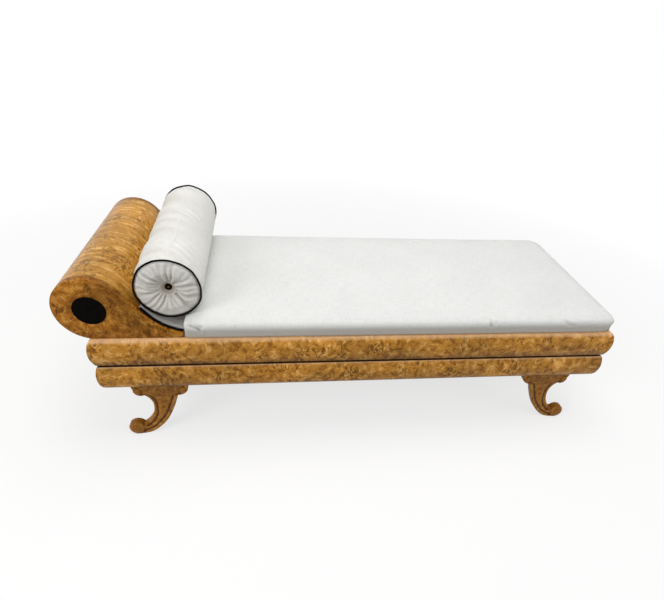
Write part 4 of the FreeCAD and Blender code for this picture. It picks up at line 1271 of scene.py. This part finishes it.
def squab():
    """The squab's cover, from rings to folds."""
    rings = squab_rings()
    columns = len(rings[0])
    points = [p * MM for ring in rings for p in ring]
    faces = grid_faces(len(rings), columns, closed_columns=True)
    top = (len(rings) - 1) * columns
    faces.append(tuple(range(top, top + columns)))
    faces.append(tuple(reversed(range(columns))))
    made = outward(piece_from("squab_cover", points, faces))
    stuffed(made, voxel=7.0, cap=4.0, spare_cloth=0.006, held=at_lowest_edge)
    finer(made)
    relax = made.modifiers.new("smooth cloth", "SMOOTH")
    relax.factor, relax.iterations = 0.5, 6
    settle(made, evaluated_copy(made))
    folds = np.zeros(len(made.data.vertices))
    for path, width, depth in SQUAB_FOLDS:
        folds = np.maximum(folds, pressed(made, path, width, depth) * min(0.8, depth / 6))
    places = listed(made.data.vertices, "co", 3)
    places[:, 0] = np.maximum(places[:, 0], SQUAB_HEAD * MM)
    places[:, 2] = np.maximum(places[:, 2], (RAIL_TOP + 0.2) * MM)
    made.data.vertices.foreach_set("co", places.ravel())
    made.data.update()
    levels = places[:, 2] / MM - RAIL_TOP
    # Painted shade: in the folds, and darker towards the foot of the side.
    point_values(made.data, "painted_shade", np.maximum(folds, np.clip(0.95 - levels / 38.0, 0.0, 0.7)))
    lay_map(made, squab_map)
    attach(made, "squab")
    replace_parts(made, "squab")
    return wear(made, SQUAB_LINEN)


squab_cover = squab()
print("squab", len(squab_cover.data.vertices), "points")

# %% [markdown]
# ## The bolster
# The bolster is a round cushion that lies a little askew on the sweep. Its form is turned from one
# line about its own axis: a dimple for the button, a puffed end, the seam and the long side. The
# seam is sewn by hand, so it strays a little from its circle, and its cord strays with it.

# %% Form of the bolster
BOLSTER_PLACE = Vector((-592.68, 0.0, 591.79))
BOLSTER_R, SEAM_R, SEAM_Y = 98.0, 94.3, 293.0
PIVOT = Vector((0.0, -SEAM_Y, 0.0))
ASKEW = Matrix.Rotation(math.radians(1.8), 4, Vector((OUT.x, 0.0, OUT.y)))
ON_SWEEP = (Matrix.Translation(BOLSTER_PLACE * MM) @ Matrix.Translation(PIVOT * MM)
            @ ASKEW @ Matrix.Translation(-PIVOT * MM))


def end_profile(radius):
    """How far the puffed end stands past the seam at a radius."""
    share = radius / SEAM_R
    if share > 0.66:
        return 9.0 * (1 - ((share - 0.66) / 0.34) ** 2)
    return 9.0 - 41.0 * (1 - share / 0.66) ** 1.7


def seam_stray(turn, way):
    """How far the hand-sewn seam strays from its circle: outward and along the axis, in mm."""
    place = Vector((math.cos(turn), math.sin(turn), way * 3.0))
    return 3.4 * noise.noise(place * 1.9), 1.8 * noise.noise(place * 1.5 + Vector((0, 0, 7.0)))


def side_radius(from_seam):
    """Radius of the side, which swells from the seam to its full width within 50 mm."""
    swell = 1 - (1 - min(1.0, max(0.0, from_seam) / 50.0)) ** 2
    return SEAM_R - 1.0 + (BOLSTER_R - 1.5 - SEAM_R) * swell


def bolster_form():
    """The round cushion about its own axis, turned from one line."""
    line = [(radius, -SEAM_Y - end_profile(radius)) for radius in [1.0 + i * 4.4 for i in range(21)]]
    line += [(side_radius(d), d - SEAM_Y) for d in [3.0 + i * (2 * SEAM_Y - 6.0) / 90 for i in range(91)]
             if d < SEAM_Y] + [(side_radius(SEAM_Y), 0.0)]
    line += [(radius, -y) for radius, y in reversed(line[:-1])]
    around = 200
    turns = [2 * math.pi * i / around for i in range(around)]
    points = [(r * math.cos(turn) * MM, y * MM, r * math.sin(turn) * MM) for r, y in line for turn in turns]
    faces = grid_faces(len(line), around, closed_columns=True)
    faces.append(tuple(range(around)))
    faces.append(tuple(range((len(line) - 1) * around, len(line) * around)))
    return outward(piece_from("bolster_cover", points, faces))


print("bolster", 2 * (SEAM_Y + round(max(end_profile(r) for r in range(95)), 1)), "mm long")

# %% [markdown]
# ## Gathered ends
# The cloth of an end is drawn together under a button, so it lies in pleats. Each is a narrow
# groove from the button towards the seam, wider as it goes out. They are uneven in angle, depth,
# length and width, as hand work is. The uneven values come from dice with a fixed start, so that
# every run draws the same pleats.

# %% Pleats
PLEATS = 22


def pleat_list(seed):
    """Angle, depth, length and width of the pleats of one end."""
    dice = random.Random(seed)
    return [((i + dice.uniform(-0.3, 0.3)) / PLEATS * 2 * math.pi, dice.uniform(4.0, 8.5),
             dice.uniform(0.80, 1.25), dice.uniform(0.8, 1.25)) for i in range(PLEATS)]


def pleated(x, z, pleats):
    """Depth of the grooves at places of an end, in mm."""
    radius, turn = np.hypot(x, z), np.arctan2(z, x)
    depth = np.zeros(len(x))
    for at, deep, reach, broad in pleats:
        apart = (turn - at + math.pi) % (2 * math.pi) - math.pi
        apart = (apart + 0.06 * np.sin(radius / 15.0 + at * 5)) * np.maximum(radius, 12.0)
        width = broad * (1.7 + 0.042 * radius)
        fade = np.clip(1 - (radius / SEAM_R) / reach, 0, 1) ** 0.6 * np.clip((radius - 8) / 14, 0.3, 1)
        swell = 0.3 * np.exp(-((np.abs(apart) - 2.2 * width) / width) ** 2)
        depth += deep * fade * (np.exp(-(apart / width) ** 2) - swell)
    return depth


print("pleats in each end", PLEATS, "and up to", round(max(p[1] for p in pleat_list(4)), 1), "mm deep")

# %% [markdown]
# ## Creases of the side
# A loose cover creases across the side, most on the side that leans on the head. Slow waves that
# are bent by other waves look like such cloth, because no two bands are alike. A narrow ridge
# runs along the top, and the head side has one soft swell.

# %% Side creases and map of the bolster
def bolster_map(places, middles, normals):
    """Lays the cloth flat on the ends and rolls it round the side."""
    x, y, z = places.T
    turn = np.arctan2(middles[:, 2], middles[:, 0])
    apart = (np.arctan2(z, x) - turn + math.pi) % (2 * math.pi) - math.pi
    end = np.abs(normals[:, 1]) > 0.75
    return np.stack([np.where(end, x, y), np.where(end, z, (turn + apart) * BOLSTER_R)], axis=1)


def creases(x, y, z):
    """Soft folds of the side: bands that lean over on the head side and one ridge along the top."""
    turn = np.arctan2(z, x)
    fade = np.clip((SEAM_Y - np.abs(y)) / 30.0, 0, 1)
    slant = y + 24.0 * np.cos(turn) + 10.0 * np.sin(2 * turn)
    bands = 2.3 * np.sin(slant / 15.0 + 1.7 * np.sin(slant / 53.0)) * np.clip(0.75 - np.cos(turn), 0, 1)
    bands += 0.9 * np.sin(slant / 6.1 + 2.0 * np.sin(turn * 3)) * np.clip(np.sin(slant / 40.0), 0, 1)
    ridge = 1.4 * np.exp(-((turn - 1.45 - 0.05 * np.sin(y / 70.0)) * BOLSTER_R / 4.0) ** 2)
    belly = 5.0 * np.exp(-((np.abs(turn) - math.pi) / 0.7) ** 2) * np.exp(-((y + 180.0) / 80.0) ** 2)
    return (bands + ridge) * fade + belly * fade


side_turns = np.linspace(-math.pi, math.pi, 73)
side_push = creases(BOLSTER_R * np.cos(side_turns), np.zeros(73), BOLSTER_R * np.sin(side_turns))
print("creases half way along", [round(float(push), 1) for push in (side_push.min(), side_push.max())], "mm")

# %% [markdown]
# ## Making the bolster
# The form is filled with air like the squab, held along its seams. Pleats and creases come after
# that, because they are finer than the squares of the solver. Deep places get painted shade in the
# finish, so that folds are darker. At last the bolster goes from its own axis to the sweep.

# %% Make the bolster
def on_seam(place):
    """1 close to a seam, where the cord holds the cloth, and 0 elsewhere."""
    beside = abs(abs(place.y) - SEAM_Y) < 5
    return 1.0 if beside and math.hypot(place.x, place.z) > SEAM_R - 6 else 0.0


def bolster():
    """The bolster's cover, filled, pleated and creased."""
    made = bolster_form()
    stuffed(made, voxel=4.5, cap=4.0, spare_cloth=0.01, held=on_seam)
    finer(made)
    mesh = made.data
    x, y, z = (listed(mesh.vertices, "co", 3) / MM).T
    radius = np.hypot(x, z)
    # Painted shade: the pleats, the dimple round each button and the valleys of the creases are darkened.
    painted_shade = np.zeros(len(x))
    for facing in (-1, 1):
        on_end = (y * facing > SEAM_Y - 4) & (radius < SEAM_R - 1)
        depth = pleated(x, z, pleat_list(5 + facing)) * on_end
        y = y - facing * depth
        dimple = np.clip((27.0 - radius) / 14.0, 0, 0.75) * (y * facing > SEAM_Y - 30)
        painted_shade = np.maximum(painted_shade, np.maximum(np.clip(depth / 9.0, 0, 0.65), dimple))
    push = creases(x, y, z) * (np.abs(y) < SEAM_Y)
    painted_shade = np.maximum(painted_shade, np.clip(-push / 14.0, 0, 0.16))
    seam = -1.5 * np.exp(-((np.abs(y) - SEAM_Y) / 5.0) ** 2) * (radius > SEAM_R - 8)
    turns = np.linspace(-math.pi, math.pi, 361)
    for facing in (-1, 1):
        stray = np.interp(np.arctan2(z, x), turns, [seam_stray(turn, facing)[0] for turn in turns])
        seam += stray * np.exp(-((y - facing * SEAM_Y) / 22.0) ** 2) * np.clip(radius / SEAM_R, 0, 1) ** 3
    grown = (push + seam) / np.maximum(radius, 1.0)
    x, z = x * (1 + grown), z * (1 + grown)
    mesh.vertices.foreach_set("co", (np.stack([x, y, z], axis=1) * MM).ravel())
    mesh.update()
    point_values(mesh, "painted_shade", painted_shade)
    lay_map(made, bolster_map)
    mesh.transform(ON_SWEEP)
    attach(made, "bolster")
    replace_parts(made, "bolster")
    return wear(made, BOLSTER_LINEN)


bolster_cover = bolster()
print("bolster", len(bolster_cover.data.vertices), "points")

# %% [markdown]
# ## Cords and buttons of the bolster
# A black cord covers each seam of the bolster, and a covered button is drawn deep into each end.
# The cord is the same tube as before, led round a circle that a hand sewed, so it isn't perfect.
# The pale dot in each button is a small turned stud.

# %% Seam cords and buttons
BUTTON = [(3.0, -3.0), (13.0, -2.0), (14.5, 0.0), (14.5, 1.6), (13.2, 3.4),
          (9.0, 4.9), (6.0, 5.7), (2.6, 5.9), (0.8, 5.6)]
STUD = [(0.4, 0.0), (2.4, 0.0), (2.2, 0.8), (1.2, 1.6), (0.4, 1.8)]
BUTTON_DEEP, STUD_RISE = 20.0, 5.7
bolster_cords, bolster_buttons = [], []


def sewn_on(made, material):
    """Moves a piece from the bolster's own axis to the bolster, and lets it ride on it."""
    made.data.transform(ON_SWEEP)
    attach(made, "bolster")
    return wear(made, material)


for name, way in (("front", -1), ("back", 1)):
    circle = []
    for i in range(200):
        turn = 2 * math.pi * i / 200
        outward_by, along_by = seam_stray(turn, way)
        radius = SEAM_R + 0.8 + outward_by
        y = way * (SEAM_Y + along_by)
        circle.append(Vector((radius * math.cos(turn), y, radius * math.sin(turn))))
    cord = covered_cord("bolster_cord_" + name, circle, CORD_R, closed=True, wobble=0.5)
    bolster_cords.append(sewn_on(cord, CORD_CLOTH))
    button = turned("bolster_button_%s_covered" % name, BUTTON,
                    (0.0, way * (SEAM_Y - BUTTON_DEEP), 0.0), way, 48)
    bolster_buttons.append(sewn_on(button, CORD_CLOTH))
    stud = turned("bolster_button_%s_stud" % name, STUD,
                  (0.0, way * (SEAM_Y - BUTTON_DEEP + STUD_RISE), 0.0), way, 20)
    sewn_on(stud, LEG_WOOD)
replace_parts(bolster_cords[0], "bolster_piping")
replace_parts(bolster_buttons[0], "bolster_buttons")
print("cord round an end", round(along(circle)[-1]), "mm, buttons", len(bolster_buttons))

# %% [markdown]
# ## The hidden frame
# Bearers, blocks, boards and webbing are seen only from below. The CAD nodes have the right shape,
# so they stay and get plain pine or jute.

# %% Finishes for the hidden pieces
for name, node in nodes.items():
    if "webbing" in name:
        wear(node, JUTE)
    elif name.startswith(("squab_frame", "bearer", "corner", "head_base", "head_formers", "leg_tenons")):
        wear(node, PINE)
print("CAD nodes kept", len([n for n in nodes.values() if not n.hide_render]))

# %% [markdown]
# ## Floor
# The floor is pale and plain. Light Path tells how a ray of light travels. The camera sees the floor
# nearly white, and so do reflections and clear things, while light that bounces off it stays
# dim. It still takes a soft shadow, and further out it fades into the white world.

# %% Floor
FLOOR_HALF = 6


def seen_white(tree):
    """1 for rays from the camera, a reflection or a clear thing, and 0 for the light in the room."""
    path = add(tree, "LightPath").outputs
    clear_or_shiny = calc(tree, "MAXIMUM", path["Is Glossy Ray"], path["Is Transmission Ray"])
    return calc(tree, "MAXIMUM", path["Is Camera Ray"], clear_or_shiny)


def floor():
    """A flat square under the piece that fades out at its rim."""
    mesh = bpy.data.meshes.new("floor")
    corners = [(x * FLOOR_HALF, y * FLOOR_HALF, 0) for x, y in ((-1, -1), (1, -1), (1, 1), (-1, 1))]
    mesh.from_pydata(corners, [], [(0, 1, 2, 3)])
    made = bpy.data.objects.new("floor", mesh)
    bpy.context.scene.collection.objects.link(made)
    material, tree, shader = finish_of("pale floor")
    shader.inputs["Roughness"].default_value = 0.9
    place = add(tree, "TexCoord").outputs["Object"]
    glow = add(tree, "Emission", {"Color": (1, 1, 1, 1), "Strength": 1.0})
    seen = seen_white(tree)
    tone = blend(tree, seen, (0.26, 0.245, 0.23, 1), (0.95, 0.95, 0.95, 1))
    tree.links.new(tone, shader.inputs["Base Color"])
    lifted = add(tree, "MixShader", {0: calc(tree, "MULTIPLY", seen, 0.70),
                                     1: shader.outputs[0], 2: glow.outputs[0]})
    far = add(tree, "VectorMath", {0: place}, operation="LENGTH").outputs["Value"]
    fade = ramp(tree, calc(tree, "MULTIPLY", far, 0.2), (0.28, grey(0.0)), (0.55, grey(1.0)))
    clear = add(tree, "BsdfTransparent", {"Color": (1, 1, 1, 1)})
    whole = add(tree, "MixShader", {0: fade, 1: lifted.outputs[0], 2: clear.outputs[0]})
    tree.links.new(whole.outputs[0], tree.nodes["Material Output"].inputs["Surface"])
    mesh.materials.append(material)


floor()
print("floor", 2 * FLOOR_HALF, "m wide")

# %% [markdown]
# ## Light
# The photograph was taken in a bright room with soft light from all sides. Large flat lamps give
# such light: one above, one like a window by the head and a weak one by the foot. The world
# fills the shadows a little and is seen as plain white, by the same choice of rays as the floor.

# %% World and lamps
def world():
    """A warm dim room for light and a plain white one for the eye."""
    made = bpy.data.worlds.new("white room")
    bpy.context.scene.world = made
    made.use_nodes = True
    tree = made.node_tree
    room = tree.nodes["Background"]
    room.inputs["Color"].default_value = (1.0, 0.99, 0.975, 1)
    room.inputs["Strength"].default_value = 0.40
    white = add(tree, "Background", {"Color": (1, 1, 1, 1), "Strength": 1.0})
    both = add(tree, "MixShader", {0: seen_white(tree), 1: room.outputs[0], 2: white.outputs[0]})
    tree.links.new(both.outputs[0], tree.nodes["World Output"].inputs["Surface"])


def lamp(name, place, target, size, power):
    """A large lamp at a place in metres that shines on a target."""
    light = bpy.data.lights.new(name, "AREA")
    light.shape = "RECTANGLE"
    light.size, light.size_y = size
    light.energy = power
    made = bpy.data.objects.new(name, light)
    bpy.context.scene.collection.objects.link(made)
    made.location = place
    made.rotation_euler = (Vector(target) - Vector(place)).to_track_quat("-Z", "Y").to_euler()


world()
lamp("ceiling", (0.1, 0.1, 3.0), (0.0, 0.0, 0.4), (2.2, 1.6), 46.0)
lamp("window", (-2.6, -2.4, 2.3), (0.0, 0.0, 0.45), (1.8, 1.8), 52.0)
lamp("fill", (2.8, -2.0, 1.5), (0.2, 0.0, 0.4), (1.6, 1.6), 17.0)
print("lamps", [light.name for light in bpy.data.lights])

# %% [markdown]
# ## Camera
# The camera stands where the photographer stood. Its place and its three directions were found from
# the straight edges of the rails, and the shift says that the photograph was cropped. Colours
# go out by the plain Standard view, so that white stays white.

# %% Camera
camera = bpy.data.objects.new("camera", bpy.data.cameras.new("camera"))
bpy.context.scene.collection.objects.link(camera)
right = Vector((0.98981, -0.1233, 0.07129))
down = Vector((-0.02323, -0.63355, -0.77336))
ahead = Vector((0.14052, 0.76382, -0.62995))
facing_it = Matrix((right, -down, -ahead)).transposed().to_4x4()
camera.matrix_world = Matrix.Translation((-0.2628, -1.5227, 1.3039)) @ facing_it
camera.data.lens, camera.data.sensor_width = 24.67, 36.0
camera.data.shift_x, camera.data.shift_y = -0.0227, 0.0969
camera.data.clip_start, camera.data.clip_end = 0.05, 60.0
bpy.context.scene.camera = camera
bpy.context.scene.view_settings.view_transform = "Standard"
print("camera at", [round(value, 2) for value in camera.matrix_world.translation], "m")

# %% [markdown]
# ## Finish
# The dressed piece has to be as large as the CAD piece. At the end the scene is brought up to date.

# %% Finish
bpy.context.view_layer.update()
